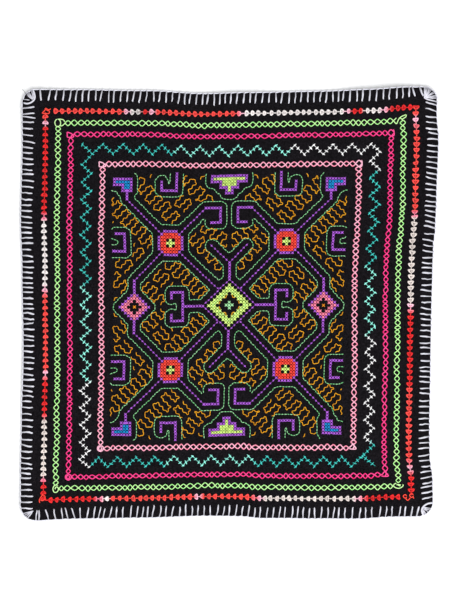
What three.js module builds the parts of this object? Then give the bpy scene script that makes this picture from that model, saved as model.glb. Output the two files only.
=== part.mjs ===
// A square cloth of black cotton, embroidered by hand and edged all round in white blanket stitch.
// It lies flat, face up, as uneven as its stitching pulls it. Units are millimetres, +Z is up,
// +Y is towards the top of the design, and the origin lies under the middle of the whole.
import * as THREE from "three";

// The cloth as it was cut and hemmed
const CLOTH_WIDTH = 398;
const CLOTH_HEIGHT = 412;
const CLOTH_THICKNESS = 1.4;
const HEM_WIDTH = 12;
const HEM_THICKNESS = 2.4;
const CORNER_RADIUS = 8;

// Where the four corners come to lie, were they square
const CORNERS = {
  topLeft: { x: -197.3, y: 205 },
  topRight: { x: 200.2, y: 207.4 },
  bottomRight: { x: 195.4, y: -202.6 },
  bottomLeft: { x: -199.2, y: -206.9 },
};

// How far each side strays outwards from the straight line between its corners,
// at a share of its length from the left or from the top
const STRAY = {
  top: [
    { at: 0, out: 0 },
    { at: 0.12, out: -0.3 },
    { at: 0.3, out: -1.7 },
    { at: 0.44, out: -4.9 },
    { at: 0.55, out: -4.2 },
    { at: 0.72, out: -3.1 },
    { at: 0.84, out: -2 },
    { at: 0.92, out: -0.3 },
    { at: 1, out: 0 },
  ],
  right: [
    { at: 0, out: 0 },
    { at: 0.12, out: 0.6 },
    { at: 0.26, out: -0.7 },
    { at: 0.36, out: -2.1 },
    { at: 0.42, out: -4 },
    { at: 0.64, out: -4.6 },
    { at: 0.8, out: -4.9 },
    { at: 0.86, out: -4.4 },
    { at: 0.92, out: -1.4 },
    { at: 1, out: 0 },
  ],
  bottom: [
    { at: 0, out: 0 },
    { at: 0.14, out: -1.4 },
    { at: 0.3, out: -1.7 },
    { at: 0.44, out: -2.9 },
    { at: 0.53, out: -2.5 },
    { at: 0.59, out: -0.3 },
    { at: 0.72, out: 0.9 },
    { at: 0.82, out: 1.5 },
    { at: 0.9, out: 0 },
    { at: 1, out: 0 },
  ],
  left: [
    { at: 0, out: 0 },
    { at: 0.12, out: 0 },
    { at: 0.3, out: 1.3 },
    { at: 0.42, out: -0.5 },
    { at: 0.63, out: -2.2 },
    { at: 0.76, out: -0.5 },
    { at: 0.88, out: 0.2 },
    { at: 1, out: 0 },
  ],
};
// The distance over which a side's straying fades to 1/e inside the cloth
const STRAY_FADE = 110;

// Soft rises where the cloth stands off the surface, by their middle on the flat cloth
const LIFTS = [
  { x: 150, y: 206, reachX: 66, reachY: 46, height: 4.6 },
  { x: 8, y: 206, reachX: 52, reachY: 34, height: 1.6 },
  { x: -192, y: 200, reachX: 46, reachY: 46, height: 2.8 },
  { x: 199, y: 34, reachX: 44, reachY: 40, height: 2.2 },
  { x: 196, y: -160, reachX: 38, reachY: 44, height: 1.8 },
  { x: 26, y: -206, reachX: 46, reachY: 38, height: 2.4 },
  { x: -199, y: -62, reachX: 36, reachY: 50, height: 1.8 },
  { x: -190, y: -200, reachX: 44, reachY: 44, height: 2.4 },
];

// The rows of embroidery that frame the panel, by the distance of their middles from each side.
// Each stands up from the cloth as a low ridge
const ROWS = {
  red: { left: 21.4, right: 20.2, top: 19.8, bottom: 18.5, halfWidth: 3.1, height: 1.1 },
  green: { left: 33.4, right: 32.7, top: 31, bottom: 29.1, halfWidth: 3.1, height: 0.9 },
  hotPink: { left: 45.5, right: 44.7, top: 42.2, bottom: 40.1, halfWidth: 3.1, height: 0.9 },
  zigzag: { left: 60.8, right: 59.6, top: 56.6, bottom: 53.8, halfWidth: 1.6, height: 0.8 },
  pink: { left: 76.1, right: 75.1, top: 70.8, bottom: 67.4, halfWidth: 3.1, height: 0.9 },
};
const PANEL = { left: 85.4, right: 85, top: 78.6, bottom: 75.2 };
const ZIGZAG_SWING = 4.5;

// The zigzag's turns set the steps round the cloth: an even number of them along each side
const TURNS_ACROSS = 32;
const TURNS_DOWN = 36;
// Steps to each turn of the zigzag, on the rings that need them close and on the others
const FINE = 1;
const COARSE = 0.5;
const CELLS_ACROSS = TURNS_ACROSS * COARSE;
const CELLS_DOWN = TURNS_DOWN * COARSE;
// Rings of the plain underside between the hem and the panel, by their share of the way
const UNDER_RINGS = [0, 0.18, 0.36, 0.56, 0.78];

// The white yarn edging. Its purl cord has this section, measured outwards from the cloth's edge
// and up from its underside, and goes round the cloth a little way off it
const PURL = [
  { out: 0.3, up: 0.35 },
  { out: 2.1, up: 1.6 },
  { out: 1.3, up: 3.6 },
  { out: 0.3, up: 2.75 },
];
// Its stitches reach from the cord's two upper corners over the hem to their holes
const STITCH_WIDTH = 1.3;
const STITCH_END_WIDTH = 0.9;
const STITCH_LENGTH = 10.2;
const STITCH_CLEARANCE = 0.35;
const STITCH_PITCH = 5.76;
const FIRST_STITCH = 13;
// How far a stitch leans along the hem, in a quick and a slow wave, and how its length varies
const STITCH_LEAN = { reach: 0.55, quick: 2.4, slow: 0.37 };
const STITCH_UNEVEN = { share: 0.05, wave: 1.7 };
// At a corner the stitches fan out around one hole, at these distances along the sides
const CORNER_FAN = { offsets: [-9, -5.5, 0, 5.5, 9], start: 0.34, endWidth: 0.6 };
// The cloth's rounded corners have a step under each side of these stitches
const CORNER_STEPS = CORNER_FAN.offsets
  .flatMap((offset) => [offset - STITCH_WIDTH / 2, offset + STITCH_WIDTH / 2])
  .filter((distance) => distance > 0);

// Sides in clockwise order from the top left corner
const SIDES = [
  { name: "top", turns: TURNS_ACROSS, length: CLOTH_WIDTH },
  { name: "right", turns: TURNS_DOWN, length: CLOTH_HEIGHT },
  { name: "bottom", turns: TURNS_ACROSS, length: CLOTH_WIDTH },
  { name: "left", turns: TURNS_DOWN, length: CLOTH_HEIGHT },
];

const mix = (a, b, share) => a + (b - a) * share;
const smooth = (t) => t * t * (3 - 2 * t);

// The straying of one side at a share of its length, eased between the table's rows
function strayAt(table, share) {
  const next = table.findIndex((row) => row.at >= share);
  if (next <= 0) return table[0].out;
  const [a, b] = [table[next - 1], table[next]];
  return mix(a.out, b.out, smooth((share - a.at) / (b.at - a.at)));
}

// Height of the cloth's underside over the surface at a point of the flat cloth
function liftAt(x, y) {
  return LIFTS.reduce((sum, lift) => {
    const away = Math.hypot((x - lift.x) / lift.reachX, (y - lift.y) / lift.reachY);
    return away < 1 ? sum + lift.height * Math.cos((Math.PI / 2) * away) ** 2 : sum;
  }, 0);
}

// A point of the flat cloth, moved to where it lies, at a height over its own underside
function lay({ x, y }, height = 0) {
  const across = x / CLOTH_WIDTH + 0.5;
  const down = 0.5 - y / CLOTH_HEIGHT;
  const fade = (share, length) => Math.exp((-share * length) / STRAY_FADE);
  const bilinear = (axis) =>
    mix(
      mix(CORNERS.topLeft[axis], CORNERS.topRight[axis], across),
      mix(CORNERS.bottomLeft[axis], CORNERS.bottomRight[axis], across),
      down,
    );
  return new THREE.Vector3(
    bilinear("x") -
      strayAt(STRAY.left, down) * fade(across, CLOTH_WIDTH) +
      strayAt(STRAY.right, down) * fade(1 - across, CLOTH_WIDTH),
    bilinear("y") +
      strayAt(STRAY.top, across) * fade(down, CLOTH_HEIGHT) -
      strayAt(STRAY.bottom, across) * fade(1 - down, CLOTH_HEIGHT),
    liftAt(x, y) + height,
  );
}

// Corners of the flat cloth's rectangle taken in by a distance on each side, clockwise from top left
function rectangle({ left, right, top, bottom }) {
  const [west, east] = [left - CLOTH_WIDTH / 2, CLOTH_WIDTH / 2 - right];
  const [south, north] = [bottom - CLOTH_HEIGHT / 2, CLOTH_HEIGHT / 2 - top];
  return [
    { x: west, y: north },
    { x: east, y: north },
    { x: east, y: south },
    { x: west, y: south },
  ];
}

// Shares along one side at which a ring has its points, the far corner left out
function stepsOf(side, perTurn, cornerSteps = []) {
  const count = side.turns * perTurn;
  const even = Array.from({ length: count }, (_, i) => i / count);
  const near = cornerSteps.flatMap((d) => [d / side.length, 1 - d / side.length]);
  return [...even, ...near].sort((a, b) => a - b);
}

// A point beside a corner, drawn round onto its arc. away is its distance from the corner,
// on the side that arrives there or on the one that leaves it
function onArc(corner, away, radius, arrives, sideIndex) {
  const turn = ((away / radius) * Math.PI) / 4;
  const outwards = (3 * Math.PI) / 4 - (sideIndex * Math.PI) / 2;
  const angle = outwards + (arrives ? turn : -turn);
  const centre = radius * Math.SQRT2;
  return {
    x: corner.x - centre * Math.cos(outwards) + radius * Math.cos(angle),
    y: corner.y - centre * Math.sin(outwards) + radius * Math.sin(angle),
  };
}

// One ring round the flat cloth: its points, and the side and share of each as one number.
// swing, if given, takes the ring further in at each share of a side
function ring(insets, { perTurn = COARSE, cornerSteps = [], radius = 0, swing = null } = {}) {
  const points = [];
  const along = [];
  SIDES.forEach((side, s) => {
    for (const share of stepsOf(side, perTurn, cornerSteps)) {
      const extra = swing ? swing(share * side.turns) : 0;
      const taken = Object.fromEntries(
        SIDES.map(({ name }) => [name, insets[name] + extra]),
      );
      const corners = rectangle(taken);
      const [from, to] = [corners[s], corners[(s + 1) % SIDES.length]];
      const length = Math.hypot(to.x - from.x, to.y - from.y);
      const [gone, ahead] = [share * length, (1 - share) * length];
      let point = { x: mix(from.x, to.x, share), y: mix(from.y, to.y, share) };
      if (gone < radius) point = onArc(from, gone, radius, false, s);
      if (ahead < radius) point = onArc(to, ahead, radius, true, (s + 1) % SIDES.length);
      points.push(point);
      along.push(s + share);
    }
  });
  return { points, along };
}

// A growing list of points and triangles
class Faces {
  constructor() {
    this.positions = [];
    this.triangles = [];
  }

  add(points) {
    const first = this.positions.length;
    this.positions.push(...points);
    return points.map((_, i) => first + i);
  }

  // Joins two closed rings, walking both by the places of their points. flip turns the faces over
  zip(outer, inner, flip) {
    let [i, j] = [0, 0];
    const [m, n] = [outer.indices.length, inner.indices.length];
    while (i < m || j < n) {
      const nextOuter = i < m ? (outer.along[i + 1] ?? SIDES.length) : Infinity;
      const nextInner = j < n ? (inner.along[j + 1] ?? SIDES.length) : Infinity;
      const [a, b] = [outer.indices[i % m], inner.indices[j % n]];
      const c =
        nextOuter <= nextInner ? outer.indices[(i + 1) % m] : inner.indices[(j + 1) % n];
      this.triangles.push(flip ? [a, c, b] : [a, b, c]);
      if (nextOuter <= nextInner) i += 1;
      else j += 1;
    }
  }

  geometry() {
    const geometry = new THREE.BufferGeometry();
    geometry.setAttribute(
      "position",
      new THREE.Float32BufferAttribute(this.positions.flatMap((p) => [p.x, p.y, p.z]), 3),
    );
    geometry.setIndex(this.triangles.flat());
    return geometry;
  }
}

// The panel inside the rows: an even grid of cells whose rim is the ring that it gives back
function addPanel(faces, height, flip) {
  const [northWest, , southEast] = rectangle(PANEL);
  const grid = Array.from({ length: CELLS_DOWN + 1 }, (_, row) =>
    faces.add(
      Array.from({ length: CELLS_ACROSS + 1 }, (_, column) =>
        lay(
          {
            x: mix(northWest.x, southEast.x, column / CELLS_ACROSS),
            y: mix(northWest.y, southEast.y, row / CELLS_DOWN),
          },
          height,
        ),
      ),
    ),
  );
  for (let row = 0; row < CELLS_DOWN; row += 1) {
    for (let column = 0; column < CELLS_ACROSS; column += 1) {
      const [a, b] = [grid[row][column], grid[row][column + 1]];
      const [d, c] = [grid[row + 1][column], grid[row + 1][column + 1]];
      const cell = [
        [a, d, c],
        [a, c, b],
      ];
      faces.triangles.push(...cell.map(([p, q, r]) => (flip ? [p, r, q] : [p, q, r])));
    }
  }
  const last = { row: CELLS_DOWN, column: CELLS_ACROSS };
  const rim = [
    ...grid[0].slice(0, -1),
    ...grid.slice(0, -1).map((row) => row[last.column]),
    ...grid[last.row].slice(1).reverse(),
    ...grid.slice(1).map((row) => row[0]).reverse(),
  ];
  return { indices: rim, along: ring(PANEL).along };
}

const evenInset = (inset) => ({ left: inset, right: inset, top: inset, bottom: inset });
const shifted = (row, by) =>
  Object.fromEntries(SIDES.map(({ name }) => [name, row[name] + by]));
// The zigzag turns outwards at the corners and at every second step from there
const zigzag = (turn) => ZIGZAG_SWING * (1 - 2 * Math.abs((turn % 2) - 1));

// Rings of the top face from the edge inwards, each with its height over the underside
function topRings() {
  const corner = { perTurn: FINE, cornerSteps: CORNER_STEPS };
  const ridge = (row, options = {}) =>
    [
      { by: -row.halfWidth, rise: 0 },
      { by: 0, rise: row.height },
      { by: row.halfWidth, rise: 0 },
    ].map(({ by, rise }) => ({
      height: CLOTH_THICKNESS + rise,
      ...ring(shifted(row, by), options),
    }));
  return [
    { height: HEM_THICKNESS, ...ring(evenInset(0), { ...corner, radius: CORNER_RADIUS }) },
    { height: HEM_THICKNESS, ...ring(evenInset(HEM_WIDTH), corner) },
    ...ridge(ROWS.red),
    ...ridge(ROWS.green),
    ...ridge(ROWS.hotPink),
    ...ridge(ROWS.zigzag, { perTurn: FINE, swing: zigzag }),
    ...ridge(ROWS.pink),
  ];
}

// Rings of the underside from the hem inwards
function underRings() {
  return UNDER_RINGS.map((share) => {
    const insets = Object.fromEntries(
      SIDES.map(({ name }) => [name, mix(HEM_WIDTH, PANEL[name], share)]),
    );
    return { height: 0, ...ring(insets) };
  });
}

const laid = ({ points, height }) => points.map((point) => lay(point, height));

// The cloth: its top with the rows standing up, its plain underside, and its edge
function clothGeometry() {
  const faces = new Faces();
  const addRings = (rings) =>
    rings.map((r) => ({ indices: faces.add(laid(r)), along: r.along }));
  const zipAll = (rings, flip) =>
    rings.slice(1).forEach((inner, k) => faces.zip(rings[k], inner, flip));
  const top = addRings(topRings());
  zipAll([...top, addPanel(faces, CLOTH_THICKNESS, false)], false);
  const edge = topRings()[0];
  const under = addRings([{ ...edge, height: 0 }, ...underRings()]);
  zipAll([...under, addPanel(faces, 0, true)], true);
  faces.zip(top[0], under[0], true);
  return faces.geometry();
}

// A place round the cloth, as a side's number and the share of it that is passed,
// at a distance past a corner, or before it where the distance is negative
function placeAt(corner, distance) {
  const side = SIDES[(corner + (distance < 0 ? SIDES.length - 1 : 0)) % SIDES.length];
  return corner + distance / side.length;
}

// What lies over the hem at a place: a point between the edge (0) and the hem's fold (1),
// and the level direction that leads out of the cloth there
function hemAt(edge, fold, along, place, share) {
  const round = (place + SIDES.length) % SIDES.length;
  const found = along.findLastIndex((at) => at <= round);
  const next = (found + 1) % along.length;
  const end = next === 0 ? SIDES.length : along[next];
  const part = (round - along[found]) / (end - along[found]);
  const [from, to] = [edge[found], edge[next]];
  const outer = from.clone().lerp(to, part);
  const inner = fold[found].clone().lerp(fold[next], part);
  const out = new THREE.Vector3(from.y - to.y, to.x - from.x, 0).normalize();
  return { point: outer.lerp(inner, share), out };
}

// Every stitch of the edging in its order round the cloth: where it crosses the edge,
// by the corner before it and its distance from there, and where its hole is
function stitchTable() {
  const depth = STITCH_LENGTH / HEM_WIDTH;
  return SIDES.flatMap(({ length }, corner) => {
    const room = length - 2 * FIRST_STITCH;
    const count = Math.round(room / STITCH_PITCH);
    const fan = CORNER_FAN.offsets.map((distance) => ({
      corner,
      distance,
      hole: 0,
      depth,
      start: CORNER_FAN.start,
      endWidth: CORNER_FAN.endWidth,
    }));
    const straight = Array.from({ length: count + 1 }, (_, k) => {
      const { reach, quick, slow } = STITCH_LEAN;
      const distance = FIRST_STITCH + (k / count) * room;
      return {
        corner,
        distance,
        hole: distance + reach * (Math.sin(k * quick + corner) + Math.sin(k * slow)),
        depth: depth * (1 + STITCH_UNEVEN.share * Math.sin(k * STITCH_UNEVEN.wave + corner)),
        start: 0,
        endWidth: STITCH_END_WIDTH,
      };
    });
    return [...fan, ...straight];
  });
}

// The edging as one closed surface: the cord has a section on either side of each stitch,
// and there the stitch grows out of the face between its two upper corners
function edgingGeometry() {
  const [edgeRing, foldRing] = topRings();
  const [edge, fold] = [edgeRing, foldRing].map((r) => laid({ ...r, height: 0 }));
  const at = (place, share) => hemAt(edge, fold, edgeRing.along, place, share);
  const faces = new Faces();
  const section = (place) => {
    const { point, out } = at(place, 0);
    return faces.add(
      PURL.map((corner) => {
        const moved = point.clone().addScaledVector(out, corner.out);
        return moved.setZ(point.z + corner.up);
      }),
    );
  };
  const quad = (a, b, c, d) => faces.triangles.push([a, b, c], [a, c, d]);

  const stitches = stitchTable().map((stitch) => {
    const { corner, distance } = stitch;
    const before = section(placeAt(corner, distance - STITCH_WIDTH / 2));
    const after = section(placeAt(corner, distance + STITCH_WIDTH / 2));
    const rim = at(placeAt(corner, distance), 0).point;
    const hole = at(placeAt(corner, stitch.hole), stitch.depth).point;
    const along = rim.clone().sub(hole);
    const end = hole.clone().addScaledVector(along, stitch.start);
    end.setZ(end.z + HEM_THICKNESS + STITCH_CLEARANCE);
    const aside = new THREE.Vector3(along.y, -along.x, 0).normalize();
    const ends = faces.add([
      end.clone().addScaledVector(aside, -stitch.endWidth / 2),
      end.clone().addScaledVector(aside, stitch.endWidth / 2),
    ]);
    return { before, after, ends };
  });

  stitches.forEach(({ before, after, ends: [endBefore, endAfter] }, i) => {
    const next = stitches[(i + 1) % stitches.length].before;
    const [, , top, inner] = PURL.keys();
    PURL.forEach((_, p) => {
      const q = (p + 1) % PURL.length;
      quad(after[p], after[q], next[q], next[p]);
      if (p !== top) quad(before[p], before[q], after[q], after[p]);
    });
    quad(before[top], endBefore, endAfter, after[top]);
    quad(before[inner], after[inner], endAfter, endBefore);
    faces.triangles.push([endBefore, before[top], before[inner]]);
    faces.triangles.push([endAfter, after[inner], after[top]]);
  });
  return faces.geometry();
}

function named(name, geometry, { color, roughness }) {
  geometry.computeVertexNormals();
  const material = new THREE.MeshStandardMaterial({ color, roughness, metalness: 0 });
  const mesh = new THREE.Mesh(geometry, material);
  mesh.name = name;
  return mesh;
}

const part = new THREE.Group();
part.add(
  named("cloth", clothGeometry(), { color: 0x141418, roughness: 0.92 }),
  named("edging", edgingGeometry(), { color: 0xe4e7ee, roughness: 0.75 }),
);

// The origin goes under the middle of the whole
const box = new THREE.Box3().setFromObject(part);
const middle = box.getCenter(new THREE.Vector3());
part.position.set(-middle.x, -middle.y, -box.min.z);

export default part;
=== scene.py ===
"""A square cloth of black cotton, embroidered by hand and edged all round in white blanket stitch.

Sizes are in millimetres, as a maker measures them, and each mesh is made in metres. The flat
cloth has its middle at (0, 0), and +Y points to the top of its design. It then lies as uneven
as its stitching pulls it.
"""
import logging
import math
from dataclasses import dataclass, field
from enum import Enum
from typing import Iterable, NamedTuple, Sequence

import bmesh
import bpy
import numpy as np
from bmesh.types import BMEdge, BMesh, BMVert
from bpy.types import Curve, Material, Node, NodeSocket, NodeTree, Object
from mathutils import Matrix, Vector


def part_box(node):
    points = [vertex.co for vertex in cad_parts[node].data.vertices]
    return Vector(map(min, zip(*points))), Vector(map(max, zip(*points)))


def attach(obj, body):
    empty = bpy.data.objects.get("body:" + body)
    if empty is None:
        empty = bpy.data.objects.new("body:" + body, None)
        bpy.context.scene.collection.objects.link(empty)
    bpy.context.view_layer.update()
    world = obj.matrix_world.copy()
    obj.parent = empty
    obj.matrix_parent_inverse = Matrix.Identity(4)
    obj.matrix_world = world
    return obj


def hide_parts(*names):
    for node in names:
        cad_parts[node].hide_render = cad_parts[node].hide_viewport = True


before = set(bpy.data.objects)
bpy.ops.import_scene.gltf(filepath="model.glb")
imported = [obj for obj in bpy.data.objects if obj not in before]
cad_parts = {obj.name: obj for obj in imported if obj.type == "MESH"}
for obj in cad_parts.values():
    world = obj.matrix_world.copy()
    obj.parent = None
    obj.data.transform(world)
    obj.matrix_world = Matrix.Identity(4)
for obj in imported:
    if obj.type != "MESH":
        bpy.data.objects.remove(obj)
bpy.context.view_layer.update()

log = logging.getLogger("embroidered_cloth")

MM = 0.001
Array = np.ndarray
Random = np.random.Generator


class Dye(Enum):
    """Colours of the cotton and the yarns in even white light, as red, green and blue to 255, and two
    painted shades of yarn.
    """

    BLACK = (18, 16, 19)
    WHITE = (222, 221, 231)
    SNOW = (255, 255, 255)
    GREY = (84, 80, 88)
    CREAM = (244, 236, 234)
    IVORY = (233, 221, 215)
    RED = (255, 76, 60)
    CORAL = (255, 80, 73)
    DEEP_RED = (234, 38, 40)
    BLUSH = (255, 120, 132)
    ROSE = (255, 140, 168)
    PALE_PINK = (255, 190, 212)
    HOT_PINK = (255, 74, 150)
    # Painted shade of the hot pink yarn
    SHADED_HOT_PINK = (238, 32, 116)
    LIGHT_GREEN = (208, 255, 172)
    # Painted shade of the light green yarn
    SHADED_LIGHT_GREEN = (166, 248, 144)
    TEAL = (66, 205, 196)
    MINT = (156, 252, 234)
    VIOLET = (184, 98, 226)
    GREEN = (124, 214, 138)
    PALE_GREEN = (172, 236, 176)
    GOLD = (228, 150, 4)
    AMBER = (246, 172, 18)
    ORANGE = (245, 150, 20)
    LIME = (224, 255, 138)
    BLUE = (14, 146, 208)

    @property
    def linear(self) -> Array:
        """The colour as three linear values."""
        share = np.array(self.value) / 255
        return np.where(share <= 0.04045, share / 12.92, ((share + 0.055) / 1.055) ** 2.4)

    def mixed(self, other: "Dye", share: Array | float) -> Array:
        """Mixes this dye with a share of another, or with one share for each row."""
        return self.linear + np.asarray(share)[..., None] * (other.linear - self.linear)


class Insets(NamedTuple):
    """Distances from the four sides of the flat cloth."""

    left: float
    right: float
    top: float
    bottom: float


class Lift(NamedTuple):
    """A soft rise of the cloth off the surface."""

    x: float
    y: float
    reach_x: float
    reach_y: float
    height: float


class Pull(NamedTuple):
    """A place where the embroidery has drawn the cloth along by some distance."""

    x: float
    y: float
    reach_x: float
    reach_y: float
    along_x: float
    along_y: float


class Crease(NamedTuple):
    """A soft ridge, or a trough where its height is negative. turn is its direction in degrees."""

    x: float
    y: float
    turn: float
    length: float
    width: float
    height: float


# Where the corners come to lie, were they square: top left, top right, bottom right, bottom left
CORNERS = np.array([(-197.3, 205.0), (200.2, 207.4), (195.4, -202.6), (-199.2, -206.9)])
# Which way they lie from the middle
CORNER_SIGNS = np.array([(-1, 1), (1, 1), (1, -1), (-1, -1)])
# How far each side strays outwards, at shares of its length from the left or from the top
STRAYS = {
    "top": {
        0: 0, 0.12: -0.3, 0.3: -1.7, 0.44: -4.9, 0.55: -4.2, 0.72: -3.1, 0.84: -2, 0.92: -0.3, 1: 0,
    },
    "right": {
        0: -1.3, 0.06: -1.4, 0.12: 0.6, 0.26: -0.7, 0.33: -1.5, 0.37: -3.3, 0.42: -4, 0.64: -4.6,
        0.8: -4.9, 0.86: -4.4, 0.92: -1.4, 1: 0,
    },
    "bottom": {
        0: 0, 0.14: -1.4, 0.3: -1.7, 0.44: -2.9, 0.53: -2.5, 0.59: -0.3, 0.72: 0.9, 0.82: 1.5,
        0.9: 0, 1: 0,
    },
    "left": {0: 0, 0.12: 0, 0.3: 1.3, 0.42: -0.5, 0.63: -2.2, 0.76: -0.5, 0.88: 0.2, 1: 0},
}
LIFTS = (
    Lift(150, 206, 66, 46, 3.6),
    Lift(8, 206, 52, 34, 1.6),
    Lift(-192, 200, 46, 46, 1.7),
    Lift(199, 34, 44, 40, 2.2),
    Lift(196, -160, 38, 44, 1.8),
    Lift(26, -206, 46, 38, 2.4),
    Lift(-199, -62, 36, 50, 1.8),
    Lift(-190, -200, 44, 44, 1.5),
)
PULLS = (
    Pull(135, 21, 64, 80, -1.0, 0),
    Pull(150, 97, 60, 46, 0.6, 0),
    Pull(-140, 108, 62, 72, 0.8, 0),
    Pull(-150, -34, 62, 88, -0.65, 0),
    Pull(-150, -127, 60, 42, 0.5, 0),
    Pull(-95, 150, 62, 50, 0, 0.6),
    Pull(176, 184, 32, 32, 0.4, 1.4),
)
CREASES = (
    Crease(-120, 172, 8, 120, 7, 0.5),
    Crease(60, 176, -6, 110, 8, 0.5),
    Crease(166, 90, 84, 130, 8, 0.5),
    Crease(163, -70, 96, 120, 7, 0.45),
    Crease(40, -172, 4, 140, 8, 0.5),
    Crease(-110, -174, -7, 100, 7, 0.4),
    Crease(-166, -40, 88, 140, 8, 0.5),
    Crease(-158, 110, 80, 100, 7, 0.4),
    Crease(20, 60, 38, 150, 12, 0.4),
    Crease(-50, -60, 32, 140, 12, 0.35),
)

# Thickness of the cotton, and heights over the surface that the flat cloth lies on
CLOTH_THICKNESS = 0.75
FIELD_TOP = 1.4
HEM_TOP = 2.32
TURNED_UNDER_TOP = 1.32

ROW_INSETS = {
    "red": Insets(21.4, 20.2, 19.8, 18.5),
    "green": Insets(33.4, 32.7, 31.0, 29.1),
    "hot_pink": Insets(45.5, 44.7, 42.2, 40.1),
    "zigzag": Insets(60.8, 59.6, 56.6, 53.8),
    "pink": Insets(76.1, 75.1, 70.8, 67.4),
}


def smooth(share: Array) -> Array:
    """Eases a share between 0 and 1 at both ends."""
    share = np.clip(share, 0, 1)
    return share * share * (3 - 2 * share)


def swell(x: Array, y: Array, spot: Lift | Pull) -> Array:
    """Gives a soft rise from 0 at a spot's reach to 1 at its middle."""
    away = np.hypot((x - spot.x) / spot.reach_x, (y - spot.y) / spot.reach_y)
    return np.where(away < 1, np.cos(math.pi / 2 * away) ** 2, 0)


def left_of(way: Array) -> Array:
    """Turns ways by a quarter turn to the left."""
    return np.stack([-way[..., 1], way[..., 0]], axis=-1)


def run_of(line: Array) -> Array:
    """Gives the distance of each point of a line from its start, along the line."""
    return np.append(0, np.cumsum(np.linalg.norm(np.diff(line, axis=0), axis=1)))


def points_at(line: Array, marks: Array) -> Array:
    """Gives the points of a flat line at distances from its start."""
    run = run_of(line)
    return np.column_stack([np.interp(marks, run, line[:, axis]) for axis in (0, 1)])


class Spacing(NamedTuple):
    """How far spacings vary, and the smallest and the largest, the mean one being 1."""

    spread: float
    least: float
    most: float


def uneven(rng: Random, count: int, spacing: Spacing) -> Array:
    """Divides a length into uneven steps and gives all their ends, as shares of the length."""
    steps = np.clip(rng.normal(1, spacing.spread, count), spacing.least, spacing.most)
    return np.append(0, np.cumsum(steps)) / steps.sum()


def curved(points: Sequence[Sequence[float]], steps: int = 3) -> Array:
    """Draws a smooth line through points.

    Args:
        points: Rows of two or three coordinates.
        steps: Parts of the line between two points.

    Returns:
        Rows of the line's points.
    """
    given = np.asarray(points, dtype=float)
    padded = np.concatenate([[2 * given[0] - given[1]], given, [2 * given[-1] - given[-2]]])
    share = (np.arange(steps) / steps)[:, None]
    spans = []
    for before, start, end, after in zip(padded, padded[1:], padded[2:], padded[3:]):
        first = (end - before) * share
        second = (2 * before - 5 * start + 4 * end - after) * share**2
        third = (3 * start - before - 3 * end + after) * share**3
        spans.append(start + (first + second + third) / 2)
    return np.concatenate([*spans, given[-1:]])


def flat_grid(half: Array, counts: Sequence[int]) -> BMesh:
    """Starts a flat grid about the origin, by half its size and its cells along X and Y."""
    form = bmesh.new()
    bmesh.ops.create_grid(form, x_segments=counts[0], y_segments=counts[1], size=1)
    bmesh.ops.scale(form, vec=(*half, 1), verts=form.verts)
    return form


def cut(
    form: BMesh, spot: Sequence[float], normal: Sequence[float], reach: float
) -> set[BMEdge]:
    """Cuts a form with a plane, through the vertices in reach, and gives the edges of the cut."""
    whole = form.verts[:] + form.edges[:] + form.faces[:]
    made = bmesh.ops.bisect_plane(form, geom=whole, plane_co=spot, plane_no=normal, dist=reach)
    return {item for item in made["geom_cut"] if isinstance(item, BMEdge)}


# Steps in which the edge is followed from the middle of one side to that of the next
EDGE_STEPS = 800


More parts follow.
